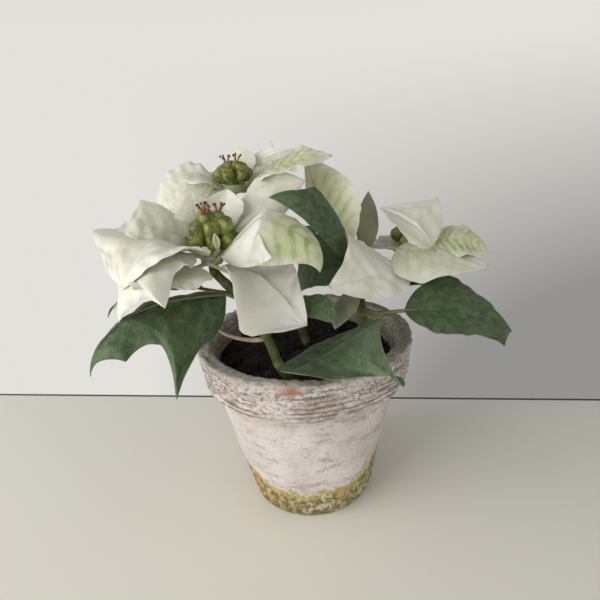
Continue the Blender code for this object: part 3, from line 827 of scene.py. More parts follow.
def rod_part(route, radii, sides, marks, v=0.0):
    """A round rod: rings of the given radii, square to its route, closed to a point at both ends."""
    along = unit(np.gradient(route, axis=0))
    across = unit(np.cross(along, (0.3, 1.0, 0.1)))
    beside = np.cross(along, across)
    first, last = route[0] - along[0] * radii[0] * 0.5, route[-1] + along[-1] * radii[-1] * 0.5
    route = np.vstack([first, route, last])
    radii = np.concatenate([[0.0], radii, [0.0]])
    across, beside = (np.vstack([one[:1], one, one[-1:]]) for one in (across, beside))
    angles = 2 * math.pi * np.arange(sides) / sides
    rings = route[:, None] + radii[:, None, None] * (
        np.cos(angles)[None, :, None] * across[:, None] + np.sin(angles)[None, :, None] * beside[:, None]
    )
    uv = np.full((rings.shape[0] * sides, 2), (0.5, v))
    return part(rings, grid_faces(len(route), sides, True), uv, marks)


def stalk_part(shape, middle):
    """The blade's stalk, from its foot through its root, and on as a rib that thins towards the tip."""
    path, _, _, up = on_midrib(shape, np.linspace(*RIB_PLACES))
    knots = np.vstack([shape["foot"] or middle, shape["root"], path - up * RIB_DEPTH])
    route = points_along(knots, 4)
    share = np.linspace(0, 1, len(route))
    radii = STALK_RADIUS * np.interp(share, [0, 0.12, 0.25, 1.0], [1.15, 0.85, 0.55, 0.12])
    marks = np.zeros((len(route) + 2, STALK_SIDES, 3))
    marks[..., 0] = np.mean(shape["green"])
    marks[..., 2] = np.interp(np.linspace(0, 1, len(route) + 2), [0, 0.14, 0.3], [1.0, 1.0, 0.4])[:, None]
    return rod_part(route, radii, STALK_SIDES, marks.reshape(-1, 3), v=0.5)


def with_stalks(blades, middle=None):
    """The parts of several blades. A stalk starts at its blade's own foot, or else at the given middle."""
    return [one for shape in blades for one in (blade_part(shape), stalk_part(shape, middle))]


# %% [markdown]
# ## Where every blade goes
#
# These are the plant's own facts: where each bract and leaf grows, which way it turns, how it droops and
# folds. The plain solids use the same ones. For most blades that the photograph shows, they come from a
# least-squares fit to points that were read off the blade's outline. The results were rounded, and some were
# then changed one by one. The blades that are hidden from the photograph's side are guessed.

# %% Heads and stems
WHORL_RADIUS = 5.5
WHORL_HEIGHT = 5.0
WHORL_1, BUDS_1 = (-43, -18, 150), (-42, -15, 165)
WHORL_2, BUDS_2 = (-36, 35, 176), (-35, 37, 185)
WHORL_3, BUDS_3 = (60, 18, 138), (65, 29, 146)
STEM_RADIUS = 2.5
UPRIGHT = 3.0
STEM_1 = [(-5, -36, 66), (-7, -40, 88), (-13, -39, 100), (-19, -34, 115), (-30, -26, 131), (-41, -20, 142)]
STEM_2 = [(2, 6, 66), (1, 7, 88), (-6, 13, 112), (-18, 24, 138), (-30, 33, 160), (-35, 35, 168)]
STEM_3 = [(29, -24, 66), (29, -23, 88), (31, -17, 108), (31, -8, 122), (33, 0, 129), (46, 10, 130),
          (57, 16, 129)]
DRY_STALK = [(-18, -35, 113), (-27, -33, 112), (-38, -28, 113), (-47, -21, 116)]
print("whorls at", WHORL_1, WHORL_2, WHORL_3)

# %% [markdown]
# The left head is the nearest and the largest. The bracts on its left hang down, one in front is nearly flat
# and painted whiter as painted light, and the one on the right is creased across, painted whiter in its inner
# half as painted light and green in its outer half, partly its own green and partly painted shade. The back
# head stands higher and is half hidden. The right head opens sideways, and one of its bracts is still green.

# %% The left head's bracts
BRACTS_1 = [
    blade((-44, -18, 150), 221, 35, 125, 58, 54, swing=13, late=2.2, roll=-4, twist=5, curl=-6, lean=-0.07,
          lobes=[(-1, 0.55, 0.35, 0.3)], green=0.03, wave=0.9, soft=0.8),
    blade((-47, -21, 152), 224, 28, 115, 60, 44, late=1.3, roll=-4, twist=22, curl=-32,
          lobes=[(1, 0.58, 0.8)], green=0.1, wave=0.8),
    blade((-46, -23, 149), 243, 4, 0, 47, 37, roll=-5, green=0.25),
    # This front bract's green of -0.3 paints it whiter, as painted light.
    blade((-44, -24, 150), -2, -28, 6, 57, 50, swing=-34, late=1.0, roll=-18, twist=64, fold=18, curl=10,
          lean=-0.35, lobes=[(-1, 0.5, 0.42, 0.3), (1, 0.45, 0.25, 0.3)], green=-0.3, wave=0.4, soft=0.8,
          valley=0.6),
    # This bract's green of -0.15 paints its inner half whiter, as painted light; its outer half's green of
    # 1.7 is its own green, pushed darker as painted shade.
    blade((-42, -23, 149), -15, 42, 96, 76, 49, swing=6, late=5, roll=20, fold=-2, curl=-49,
          crease=(0.45, 60), green=(-0.15, 1.7), wave=0.6),
    blade((-38, -11, 153), 57, 37, 27, 60, 38, swing=-49, late=1.8, roll=-30, twist=83, curl=-31, lean=0.16,
          green=0.05, wave=0.8),
    blade((-48, -14, 153), 182, 48, 78, 44, 43, swing=18, roll=-12, twist=-7, lobes=[(-1, 0.6, 0.35)],
          green=0.35, wave=0.9),
    blade((-48, -8, 153), 115, 38, -54, 32, 22, late=0.8, green=0.1, wave=0.5),
    blade((-41, -5, 153), 79, 38, -20, 34, 28, late=0.8, fold=20, curl=20, green=0.0, wave=0.5),
    blade((-47, -13, 151), 138, 18, 50, 52, 40, green=0.3),
    blade((-43, -12, 150), 92, 10, 35, 46, 38, green=0.2),
]

# A small pale scale stands up between this head's front buds.
BUD_SCALE = blade((-38.1, -26.9, 156.3), -95, 74, 0, 9.4, 3.3, curl=-8, stalk=0.5, belly=0.45, green=1.5,
                  wave=0.05, puff=0, soft=0.05)
print("left head:", len(BRACTS_1), "bracts and a scale")

# %% The back head's bracts
BRACTS_2 = [
    blade((-40, 34, 177), 193, 25, 93, 44, 45, swing=-7, late=1.3, roll=-26, twist=-4, green=0.2),
    blade((-41, 31, 176), 199, 44, 65, 26, 18, roll=-10, twist=-7, green=0.1, wave=0.4),
    blade((-37, 41, 175), 86, 24, -15, 42, 29, roll=-15, twist=-11, green=0.1, wave=0.4),
    blade((-33, 40, 175), 64, 23, -19, 47, 27, swing=-6, roll=-11, twist=-4, curl=-19, green=0.05, wave=0.5),
    blade((-31, 38, 175), 29, 28, 7, 47, 26, swing=-3, twist=6, fold=12, curl=-2, green=0.2, wave=0.5),
    blade((-29, 36, 177), -6, 29, 34, 54, 43, twist=16, curl=-13, green=1.1, wave=0.7),
    blade((-40, 38, 175), 140, 22, 55, 52, 42, green=0.1),
    blade((-37, 40, 174), 112, 2, 45, 56, 44, green=0.3),
    blade((-31, 38, 174), 50, -5, 35, 50, 38, green=0.2),
]
print("back head:", len(BRACTS_2), "bracts")

# %% The right head's bracts
BRACTS_3 = [
    blade((74, 1, 138), 161, 54, 46, 43, 44, swing=-28, roll=-22, twist=27, fold=14, curl=-3, lean=-0.24,
          lobes=[(-1, 0.42, 0.3)], green=0.05, wave=0.5, valley=0.5),
    blade((69, 14, 140), -18, 26, 74, 38, 36, swing=5, roll=15, curl=-18, green=1.4, wave=0.6),
    # This lower bract's green of 0.5 darkens it, as painted shade.
    blade((49, 13, 142), -36, -2, 10, 55, 49, swing=13, roll=14, twist=-10, curl=-25, lean=-0.1, belly=0.34,
          green=0.5, wave=0.5),
    blade((59, 7, 132), -117, 10, 13, 64, 31, swing=-43, roll=-18, twist=-64, curl=-18, lean=-0.19,
          lobes=[(-1, 0.58, 0.45, 0.26)], green=0.0, wave=0.35, soft=0.7),
    blade((62, 19, 137), 72, 8, 35, 50, 42, green=0.3),
    blade((57, 19, 137), 108, 8, 30, 40, 36, green=0.2),
    blade((66, 16, 138), 30, 12, 40, 50, 38, green=0.4),
]
print("right head:", len(BRACTS_3), "bracts")

# %% The tall bract
TALL_BRACT = blade((25, 6, 133), 106, 38, -25, 77, 41, swing=10, roll=-73, fold=-3, curl=-21, lean=-0.24,
                   foot=(30.9, 1.6, 130.1), green=1.05, wave=0.8, puff=0.25, soft=0.4)
print("tall bract:", TALL_BRACT["length"], "mm long")

# %% [markdown]
# The true leaves hang lower on the stems. They are dull green, have longer stalks, and their skin stands up
# more between the veins than a bract's while their edge waves less. Two narrow young ones are paler.

# %% The stems' leaves
LEAVES_1 = [
    blade((-37, -23, 133), 216, 11, 96, 81, 41, late=2.5, roll=-31, twist=41, fold=-15, curl=-46, lean=0.17,
          stalk=0.5, belly=0.28, point=1.3,
          lobes=[(1, 0.38, 1.1), (-1, 0.44, 0.3), (-1, 0.7, 0.5), (1, 0.76, 0.3)], foot=(-30, -26, 131)),
    blade((-45, -12, 131), 181, 20, 77, 63, 27, fold=15, foot=(-33, -24, 133)),
    blade((0, -23, 128), -54, 4, 39, 27, 12, roll=34, twist=17, stalk=2, foot=(-20, -33, 116), wave=0.4),
]
LEAVES_2 = [
    blade((-12, 28, 134), 70, 25, 55, 66, 42, stalk=10, foot=(-15, 21, 132)),
    blade((-30, 38, 150), 165, 20, 70, 60, 38, stalk=10, foot=(-25, 30, 150)),
    blade((-8, 24, 116), 120, 20, 60, 62, 40, stalk=10, foot=(-9, 16, 118)),
]
LEAVES_3 = [
    blade((39, -35, 121), 188, -32, -61, 65, 58, swing=49, roll=22, twist=-28, fold=10, curl=-3, lean=0.6,
          stalk=2, point=0.8, lobes=[(1, 0.36, 0.9, 0.3)], foot=(31, -12, 116)),
    blade((32, -19, 116), -16, 11, 41, 73, 41, swing=5, roll=26, twist=-11, curl=-12, lean=0.21, stalk=20,
          lobes=[(-1, 0.84, 0.35), (1, 0.38, 0.15)], foot=(31, -13, 114)),
    blade((26, -7, 133), 188, 82, 86, 65, 20, swing=-10, roll=-32, twist=-18, curl=-25, stalk=8,
          lobes=[(-1, 0.62, 0.5)], foot=(32, -2, 127), wave=0.4),
    blade((32, -4, 135), 194, 35, 138, 45, 47, swing=-24, roll=-29, twist=22, curl=-9, lean=-0.09, stalk=8,
          foot=(33, 0, 129)),
    blade((28, -6, 128), 249, -11, 7, 39, 14, roll=9, curl=-40, stalk=4, foot=(32, -4, 125), wave=0.4),
    blade((36, 12, 135), 73, 45, 7, 49, 13, swing=8, roll=8, curl=-22, foot=(41, 6, 131), wave=0.4),
    blade((40, -4, 122), 40, 8, 45, 66, 40, stalk=12, foot=(31, -8, 121)),
    blade((34, 4, 116), 92, 15, 55, 62, 40, stalk=12, foot=(31, -14, 112)),
]

LEAF_PUFF, LEAF_SOFTNESS, LEAF_WAVE_SHARE, YOUNG_PALENESS = 0.12, 0.5, 0.45, 0.85
all_leaves = LEAVES_1 + LEAVES_2 + LEAVES_3
for leaf in all_leaves:
    leaf.update(puff=LEAF_PUFF, soft=LEAF_SOFTNESS, wave=LEAF_WAVE_SHARE * leaf["wave"], green=0.0)
for young in (LEAVES_3[4], LEAVES_3[5]):
    young.update(green=YOUNG_PALENESS)
print("leaves:", len(all_leaves))

# %% [markdown]
# ## The veined skin
#
# Bracts and leaves share one pattern of veins, drawn from the blade's own UV places, so that it follows
# every bend: a midrib line, side veins that sweep forward, and a fine net between them.

# %% Vein nodes
def vein_lines(tree, place, width):
    """Masks for the midrib and side veins, for soft bands along the side veins, and for the fine net, and
    the places across and along. Side veins are where (v - sweep |side|) n is whole, and width is a share of
    the room between."""
    uv = add(tree, "SeparateXYZ", Vector=add(tree, "UVMap", {"uv_map": "place"}).outputs[0]).outputs
    side = number(tree, "ABSOLUTE", scaled(tree, uv[0], 2.0, -1.0))
    wobble = scaled(tree, noise(tree, place, 90, 2), 0.5, -0.25)
    swept = times(tree, number(tree, "POWER", side, 1.2), -VEIN_SWEEP * SIDE_VEINS)
    phase = scaled(tree, uv[1], SIDE_VEINS, number(tree, "ADD", swept, wobble))
    near = number(tree, "PINGPONG", phase, 0.5)
    side_vein = fade(tree, near, 0.0, width, 1.0, 0.0)
    side_vein = times(tree, side_vein, fade(tree, side, 0.75, 1.0, 1.0, 0.25))
    rib = fade(tree, side, 0.012, 0.055, 1.0, 0.0)
    main = number(tree, "MAXIMUM", side_vein, rib)
    ragged = scaled(tree, noise(tree, place, 220, 4), 0.3, near)
    band = fade(tree, ragged, 0.12, 0.52, 1.0, 0.0)
    cells = add(tree, "TexVoronoi", {"feature": "DISTANCE_TO_EDGE"}, Vector=place, Scale=330.0).outputs[0]
    net = fade(tree, cells, 0.02, 0.12, 1.0, 0.0)
    return main, band, net, side, uv[1]


# %% [markdown]
# ### Bracts
#
# A bract is creamy white with a soft, slightly matt skin that lets some light through, so the shader has a
# little subsurface. Where a bract is still turning, green fills the side veins first and fades out towards
# the edge.

# %% Bract material
CREAM = (0.64, 0.63, 0.505)
PURE_WHITE = (0.74, 0.73, 0.64)
# A whiter cream that is painted on some bracts as painted light.
PAINTED_LIGHT_WHITE = (0.86, 0.84, 0.755)
TINGE = (0.53, 0.585, 0.33)
FEATHER = (0.26, 0.33, 0.13)
STALK_GREEN = (0.15, 0.18, 0.065)
WITHERED_TIP = (0.31, 0.33, 0.25)


def bract_look():
    """Cream and white clouds, painted whiter as painted light or flushed with green by the mark, then veins,
    tip, neck and stalk.
    """
    look, tree, shader = new_look("bract", 0.62, Subsurface_Weight=0.35, Subsurface_Scale=0.003,
                                  Specular_IOR_Level=0.3, Sheen_Weight=0.15)
    shader.inputs["Subsurface Radius"].default_value = (1.0, 0.92, 0.6)
    place = object_place(tree)
    mark = point_marks(tree)
    main, band, net, side, along = vein_lines(tree, place, 0.10)
    clouds = noise(tree, place, 60, 4)
    blots = noise(tree, place, 150, 4, 0.65)
    colour = mixed(tree, fade(tree, clouds, 0.3, 0.7), CREAM, PURE_WHITE)
    # Where the first mark is under 0, the bract is painted whiter, as painted light.
    colour = mixed(tree, fade(tree, mark[0], -0.3, 0.0, 1.0, 0.0), colour, PAINTED_LIGHT_WHITE)
    inner = times(tree, fade(tree, side, 0.55, 1.0, 1.0, 0.2), fade(tree, along, 0.6, 1.0, 1.0, 0.35))
    green = number(tree, "MAXIMUM", mark[0], 0.0)
    flush = times(tree, times(tree, green, inner), fade(tree, clouds, 0.3, 0.6, 0.55, 1.0))
    colour = mixed(tree, times(tree, flush, 0.85), colour, TINGE)
    feathered = times(tree, band, fade(tree, blots, 0.36, 0.62, 0.2, 0.85))
    colour = mixed(tree, times(tree, feathered, number(tree, "POWER", flush, 1.3)), colour, FEATHER)
    faint = times(tree, main, scaled(tree, green, 0.09, 0.03))
    colour = mixed(tree, scaled(tree, net, 0.02, faint), colour, TINGE)
    colour = mixed(tree, fade(tree, along, 0.945, 0.995, 0.0, 0.55), colour, WITHERED_TIP)
    neck = times(tree, fade(tree, along, 0.0, 0.16, 1.0, 0.0), 0.45)
    colour = mixed(tree, neck, colour, TINGE)
    colour = mixed(tree, times(tree, mark[2], 0.7), colour, STALK_GREEN)
    paint(tree, shader, colour)
    height = times(tree, main, scaled(tree, green, -0.08, -0.16))
    height = scaled(tree, net, -0.1, height)
    height = scaled(tree, noise(tree, place, 500, 3), 0.3, height)
    bump(tree, shader, height, 0.0004, 0.8)
    return look


# %% [markdown]
# ### Leaves
#
# The leaves are a dull dark green above, with paler blotches and thin light veins, and a greyer, paler green
# below. The mark for the upper face tells the two sides apart.

# %% Leaf material
LEAF_DARK = (0.033, 0.058, 0.026)
LEAF_MID = (0.098, 0.154, 0.072)
LEAF_VEIN = (0.13, 0.19, 0.095)
LEAF_UNDER = (0.10, 0.145, 0.085)
LEAF_EDGE = (0.13, 0.19, 0.10)
PALE_LEAF = (0.33, 0.34, 0.23)
PETIOLE = (0.15, 0.14, 0.06)


def leaf_look():
    """Dark green with paler blotches and veins above, greyer below, and pale on a young leaf."""
    look, tree, shader = new_look("leaf", 0.55, Specular_IOR_Level=0.35, Subsurface_Weight=0.05,
                                  Subsurface_Scale=0.0015)
    place = object_place(tree)
    mark = point_marks(tree)
    main, band, net, side, _ = vein_lines(tree, place, 0.09)
    wide = noise(tree, place, 45, 2)
    blotches = scaled(tree, noise(tree, place, 260, 4, 0.7), 0.72, times(tree, wide, 0.28))
    colour = mixed(tree, fade(tree, blotches, 0.32, 0.72), LEAF_DARK, LEAF_MID)
    colour = mixed(tree, times(tree, band, 0.14), colour, LEAF_VEIN)
    colour = mixed(tree, times(tree, net, 0.03), colour, LEAF_VEIN)
    lines = times(tree, main, fade(tree, blotches, 0.42, 0.60, 0.02, 0.18))
    colour = mixed(tree, lines, colour, LEAF_VEIN)
    colour = mixed(tree, times(tree, fade(tree, side, 0.95, 1.0), 0.5), colour, LEAF_EDGE)
    under = mixed(tree, times(tree, main, 0.6), LEAF_UNDER, LEAF_VEIN)
    colour = mixed(tree, mark[1], under, colour)
    colour = mixed(tree, times(tree, mark[0], 0.8), colour, PALE_LEAF)
    colour = mixed(tree, mark[2], colour, PETIOLE)
    paint(tree, shader, colour)
    height = scaled(tree, main, -0.25, times(tree, net, -0.15))
    height = scaled(tree, blotches, 0.9, height)
    bump(tree, shader, height, 0.0005, 0.8)
    return look


bract_skin, leaf_skin = bract_look(), leaf_look()

# %% [markdown]
# ## Stems
#
# Each stem is a rod along the same route as its plain solid. A real poinsettia stem has swollen joints with
# a pale scar where a leaf grew, and its lower part turns brown and woody. One stalk has dried and lost its
# leaf, and its pale brown end still sticks out over the rim.

# %% Stem shape
JOINTS = (0.18, 0.34, 0.5, 0.63, 0.75, 0.86, 0.94)
JOINT_REACH = 0.012
STEM_SIDES = 16
STEM_STEPS = 12


def stem_route(knots, whorl):
    """The stem's smooth path, whose last point is just under the whorl."""
    top = np.array(whorl, float) - (0, 0, WHORL_HEIGHT / 2 + GAP)
    return np.vstack([points_along([*knots, top - (0, 0, UPRIGHT)], STEM_STEPS), top])


def stem_part(route):
    """A rod that thins a little upwards and swells by a bell curve at each joint."""
    share = np.linspace(0, 1, len(route))
    swell = sum(np.exp(-((share - joint) / JOINT_REACH) ** 2) for joint in JOINTS)
    radii = STEM_RADIUS * (1.0 - 0.12 * share + 0.14 * swell)
    marks = np.zeros((len(route) + 2, STEM_SIDES, 3))
    marks[..., 0] = np.concatenate([[0.0], share, [1.0]])[:, None]
    marks[..., 2] = np.concatenate([[0.0], np.clip(swell, 0, 1), [0.0]])[:, None]
    return rod_part(route, radii, STEM_SIDES, marks.reshape(-1, 3))


# %% Stem finish
GREEN_STEM = ((0.036, 0.048, 0.010), (0.075, 0.096, 0.022))
WOODY_STEM = ((0.07, 0.055, 0.028), (0.13, 0.105, 0.06))
LEAF_SCAR = (0.20, 0.19, 0.10)
DRIED = ((0.21, 0.16, 0.10), (0.34, 0.27, 0.18))


def stem_look():
    """A streaky green stem whose foot is brown wood, with a pale scar at each joint."""
    look, tree, shader = new_look("stem", 0.6, Specular_IOR_Level=0.25)
    place = object_place(tree)
    mark = point_marks(tree)
    grain = noise(tree, stretched(tree, place, (1.0, 1.0, 0.25)), 260, 4)
    colour = mixed(tree, fade(tree, grain, 0.35, 0.65), *GREEN_STEM)
    woody = mixed(tree, fade(tree, grain, 0.3, 0.7), *WOODY_STEM)
    colour = mixed(tree, fade(tree, mark[0], 0.05, 0.35), woody, colour)
    colour = mixed(tree, times(tree, mark[2], 0.4), colour, LEAF_SCAR)
    paint(tree, shader, colour)
    bump(tree, shader, grain, 0.0004, 0.6)
    return look


def dry_look():
    """A stalk dried to straw, in two pale browns."""
    look, tree, shader = new_look("dry_stalk", 0.8)
    grain = noise(tree, object_place(tree), 300, 4)
    paint(tree, shader, mixed(tree, fade(tree, grain, 0.3, 0.7), *DRIED))
    bump(tree, shader, grain, 0.0004, 0.6)
    return look


# %% Stems and leaves as pieces
DRY_STEPS, DRY_SIDES = 10, 12
DRY_PLACES, DRY_RADII = (0, 0.8, 1), (1.3, 0.9, 1.2)
STEMS = (
    ("left", STEM_1, WHORL_1, LEAVES_1),
    ("back", STEM_2, WHORL_2, LEAVES_2),
    ("right", STEM_3, WHORL_3, LEAVES_3),
)

stem_skin = stem_look()
for name, knots, whorl, leaves in STEMS:
    node = "stem_" + name
    piece(node + "_fine", [stem_part(stem_route(knots, whorl))], stem_skin, node)
    piece("leaves_" + name, with_stalks(leaves), leaf_skin, node)

dry_route = points_along(DRY_STALK, DRY_STEPS)
dry_radii = np.interp(np.linspace(0, 1, len(dry_route)), DRY_PLACES, DRY_RADII)
dry_part = rod_part(dry_route, dry_radii, DRY_SIDES, (0, 0, 0))
piece("stalk_dry", [dry_part], dry_look(), "stem_left")

# %% [markdown]
# ## Heads
#
# All the bracts of a head grow from one short swollen piece of stem. It is made as a turned knob in the same
# mesh, marked as stalk, so that the bract material paints it green.

# %% Bracts as pieces
KNOB_SIDES, KNOB_ROUND = 28, 1.5
KNOB_PLACE, KNOB_MARKS = (0.5, 0.3), (0.5, 0, 1)
HEADS = (
    ("left", WHORL_1, BRACTS_1 + [BUD_SCALE]),
    ("back", WHORL_2, BRACTS_2),
    ("right", WHORL_3, BRACTS_3),
)


def knob_part(middle):
    """The whorl: a rounded drum that the bracts grow from."""
    high = WHORL_HEIGHT / 2
    low_edge, high_edge = (WHORL_RADIUS, -high), (WHORL_RADIUS, high)
    profile = np.vstack([
        [(0.0, -high)],
        rounded(low_edge, (0, -high), high_edge, KNOB_ROUND),
        rounded(high_edge, low_edge, (0, high), KNOB_ROUND),
        [(0.0, high)],
    ])
    points = turned(profile, KNOB_SIDES) + np.array(middle, float)
    places = np.full((len(profile) * KNOB_SIDES, 2), KNOB_PLACE)
    return part(points, grid_faces(len(profile), KNOB_SIDES, True), places, KNOB_MARKS)


for name, whorl, bracts in HEADS:
    node = "bracts_" + name
    piece(node + "_fine", with_stalks(bracts, whorl) + [knob_part(whorl)], bract_skin, node)
piece("bract_tall_fine", with_stalks([TALL_BRACT]), bract_skin, "bract_tall")

# %% [markdown]
# ## Buds
#
# The true flowers are the small green cups in the middle. Each is a turned egg with five soft lobes and a
# dimple at its mouth. The open ones hold a tuft of red-brown stamens with dark tips.

# %% Bud and stamen shapes
EGG_ROWS, EGG_SIDES = 26, 30
STAMENS = 5
STAMEN_LENGTH, STAMEN_RADIUS = 4.6, 0.32
THREAD_POINTS, THREAD_SIDES = 9, 6
TIP_POINTS, TIP_SIDES = 7, 7
TIP_HALF_LENGTH, TIP_RADIUS, TIP_LEAST = 0.7, 0.62, 0.02


def facing(direction):
    """Two directions square to the given one and to each other."""
    across = unit(np.cross(direction, (0.31, 0.17, 0.93)))
    return across, np.cross(direction, across)


def egg_part(middle, direction, radius, seed):
    """A bud: radius R(p) = r sin(p)^0.85 (1 - 0.12 cos p), height -1.2 r cos(p), five lobes that deepen
    upwards, and a puckered mouth."""
    polar = np.linspace(0, math.pi, EGG_ROWS)[:, None]
    turn = np.arange(EGG_SIDES) * 2 * math.pi / EGG_SIDES
    upper = eased(polar, 0.9, 2.6)
    lobes = 1 + 0.06 * upper * np.cos(5 * turn + seed) + 0.03 * np.cos(2 * turn + 2 * seed)
    wide = radius * np.sin(polar) ** 0.85 * (1 - 0.12 * np.cos(polar - 0.3)) * lobes
    high = -1.2 * radius * np.cos(polar) - 0.3 * radius * eased(polar, 2.6, math.pi) + 0 * turn
    across, beside = facing(direction)
    points = middle + (wide * np.cos(turn))[..., None] * across + (wide * np.sin(turn))[..., None] * beside
    points = points + high[..., None] * direction
    marks = np.zeros((EGG_ROWS, EGG_SIDES, 3))
    marks[..., 0] = eased(polar, 2.35, 2.9)
    marks[..., 1] = (seed * 0.37) % 1.0
    return part(points, grid_faces(EGG_ROWS, EGG_SIDES, True), marks=marks.reshape(-1, 3))


def tuft_parts(mouth, direction, seed):
    """Stamens that fan out of a bud's mouth: bent threads, each with a dark oval tip."""
    draw = np.random.default_rng(seed)
    across, beside = facing(direction)
    parts = []
    t = np.linspace(0, 1, THREAD_POINTS)[:, None]
    swing = np.linspace(-1, 1, TIP_POINTS)
    for k in range(STAMENS):
        angle = 2 * math.pi * (k + draw.uniform(-0.3, 0.3)) / STAMENS
        spread = np.cos(angle) * across + np.sin(angle) * beside
        length = STAMEN_LENGTH * draw.uniform(0.75, 1.1)
        route = mouth + direction * length * t + spread * (0.8 + 2.0 * t**1.6) * draw.uniform(0.7, 1.1)
        thread = np.full(THREAD_POINTS, STAMEN_RADIUS)
        parts.append(rod_part(route, thread, THREAD_SIDES, (1.0, 0.0, 0.0)))
        tip = route[-1] + TIP_HALF_LENGTH * swing[:, None] * unit(route[-1] - route[-2])
        oval = TIP_RADIUS * np.sqrt(np.clip(1 - swing**2, 0, 1)) + TIP_LEAST
        parts.append(rod_part(tip, oval, TIP_SIDES, (1.0, 1.0, 0.0)))
    return parts


# %% [markdown]
# A bud's skin is waxy, so it has a little gloss, and its green is cloudy. It browns at the mouth. Some buds
# are riper than others: their second mark says how far they turn. A stamen is red-brown with a nearly black
# tip.

# %% Bud finishes
BUD_DARK = (0.075, 0.10, 0.02)
BUD_LIGHT = (0.25, 0.30, 0.075)
BUD_CLEFT = (0.085, 0.075, 0.022)
BUD_MOUTH = (0.17, 0.125, 0.03)
STAMEN_STALK = (0.25, 0.08, 0.04)
STAMEN_TIP = (0.075, 0.03, 0.018)


def bud_look():
    """Cloudy waxy green, riper on some buds, and brown at the mouth."""
    look, tree, shader = new_look("bud", 0.38, Specular_IOR_Level=0.45, Subsurface_Weight=0.1,
                                  Subsurface_Scale=0.001)
    place = object_place(tree)
    mark = point_marks(tree)
    clouds = noise(tree, place, 170, 4, 0.6)
    colour = mixed(tree, fade(tree, clouds, 0.38, 0.64), BUD_DARK, BUD_LIGHT)
    colour = mixed(tree, times(tree, mark[1], 0.25), colour, BUD_CLEFT)
    colour = mixed(tree, times(tree, mark[0], 0.5), colour, BUD_MOUTH)
    paint(tree, shader, colour)
    bump(tree, shader, clouds, 0.0004, 0.5)
    return look


def stamen_look():
    """Red-brown, and nearly black where the second mark says that it is a tip."""
    look, tree, shader = new_look("stamen", 0.5)
    paint(tree, shader, mixed(tree, point_marks(tree)[1], STAMEN_STALK, STAMEN_TIP))
    return look


# %% [markdown]
# The buds sit in rings round a hidden heart, low ones leaning out and high ones upright. The left head's
# bunch is tall and the other two are flat. A little chance in each bud's place and size keeps the rings from
# looking counted.

# %% Buds as pieces
HIGH_BUNCH = (7.5, 4.2, ((7, 8.6, -6.0, 0.3, 1.1), (6, 7.3, 0.2, 0.62, 0.6), (3, 3.4, 3.7, 0.2, 0.25)))
FLAT_BUNCH = (5.5, 3.9, ((6, 7.2, -1.6, 0.3, 0.9), (5, 5.4, 0.8, 0.62, 0.5), (2, 2.2, 2.2, 0.2, 0.15)))
NECK_RADIUS, NECK_SIDES, NECK_STEPS = 2.6, 14, 6
HEART_DROP, HEART_SEED = 2, 2
BUNCH_SEED = 40
TUFTS = 3
bud_skin, stamen_skin = bud_look(), stamen_look()


def bud_cluster(name, middle, whorl, bunch, seed):
    """A neck, a heart, three rings of buds that lean out less the higher they sit, and tufts of stamens on
    top. A bunch is its heart's radius, its buds' radius, and each ring's count, radius, lift, first angle
    and lean."""
    heart_radius, bud_radius, rings = bunch
    middle = np.array(middle, float)
    draw = np.random.default_rng(BUNCH_SEED + seed)
    foot = np.array(whorl, float) + (0, 0, WHORL_HEIGHT / 2 + GAP)
    neck = points_along([foot, foot + (0, 0, UPRIGHT), middle], NECK_STEPS)
    upright = np.array([0.0, 0.0, 1.0])
    parts = [rod_part(neck, np.full(len(neck), NECK_RADIUS), NECK_SIDES, (0.0, 0.3, 0.0)),
             egg_part(middle - HEART_DROP * upright, upright, heart_radius, HEART_SEED)]
    tufts = []
    for count, ring, lift, first, lean in rings:
        for k in range(count):
            angle = first + 2 * math.pi * k / count + draw.uniform(-0.12, 0.12)
            out = np.array([math.cos(angle), math.sin(angle), 0.0])
            upward = unit(upright + lean * out)
            bud = middle + ring * out + (0, 0, lift + draw.uniform(-0.6, 0.6))
            radius = bud_radius * draw.uniform(0.86, 1.04)
            parts.append(egg_part(bud, upward, radius, k + count + seed))
            if (count, ring) == rings[-1][:2] and k < TUFTS:
                tufts += tuft_parts(bud + upward * radius * 0.8, upward, 10 * seed + k)
    piece("buds_" + name + "_fine", parts, bud_skin, "buds_" + name)
    piece("stamens_" + name, tufts, stamen_skin, "buds_" + name)


bud_cluster("left", BUDS_1, WHORL_1, HIGH_BUNCH, 1)
bud_cluster("back", BUDS_2, WHORL_2, FLAT_BUNCH, 2)
bud_cluster("right", BUDS_3, WHORL_3, FLAT_BUNCH, 3)

# %% [markdown]
# ## Studio
#
# The photograph was taken on a pale table by a window on the left. A slab stands in for the table, with its
# back edge where the photograph shows it and a dark strip for the shadow behind it. Behind the table there
# is only the world's own pale grey, brighter towards the window, because a wall would be in the way of the
# views from behind.

# %% The table
TABLE_LEFT_BACK = (-197.0, 112.7)
TABLE_RIGHT_BACK = (165.2, 66.4)
TABLE_REACH = 2000.0
TABLE_THICKNESS = 30.0
STRIP_BACK, STRIP_FRONT, STRIP_DROP = -4.0, -0.2, -1.0
TABLE_CREAM = (0.81, 0.795, 0.735)
STRIP_DARK = (0.10, 0.095, 0.085)


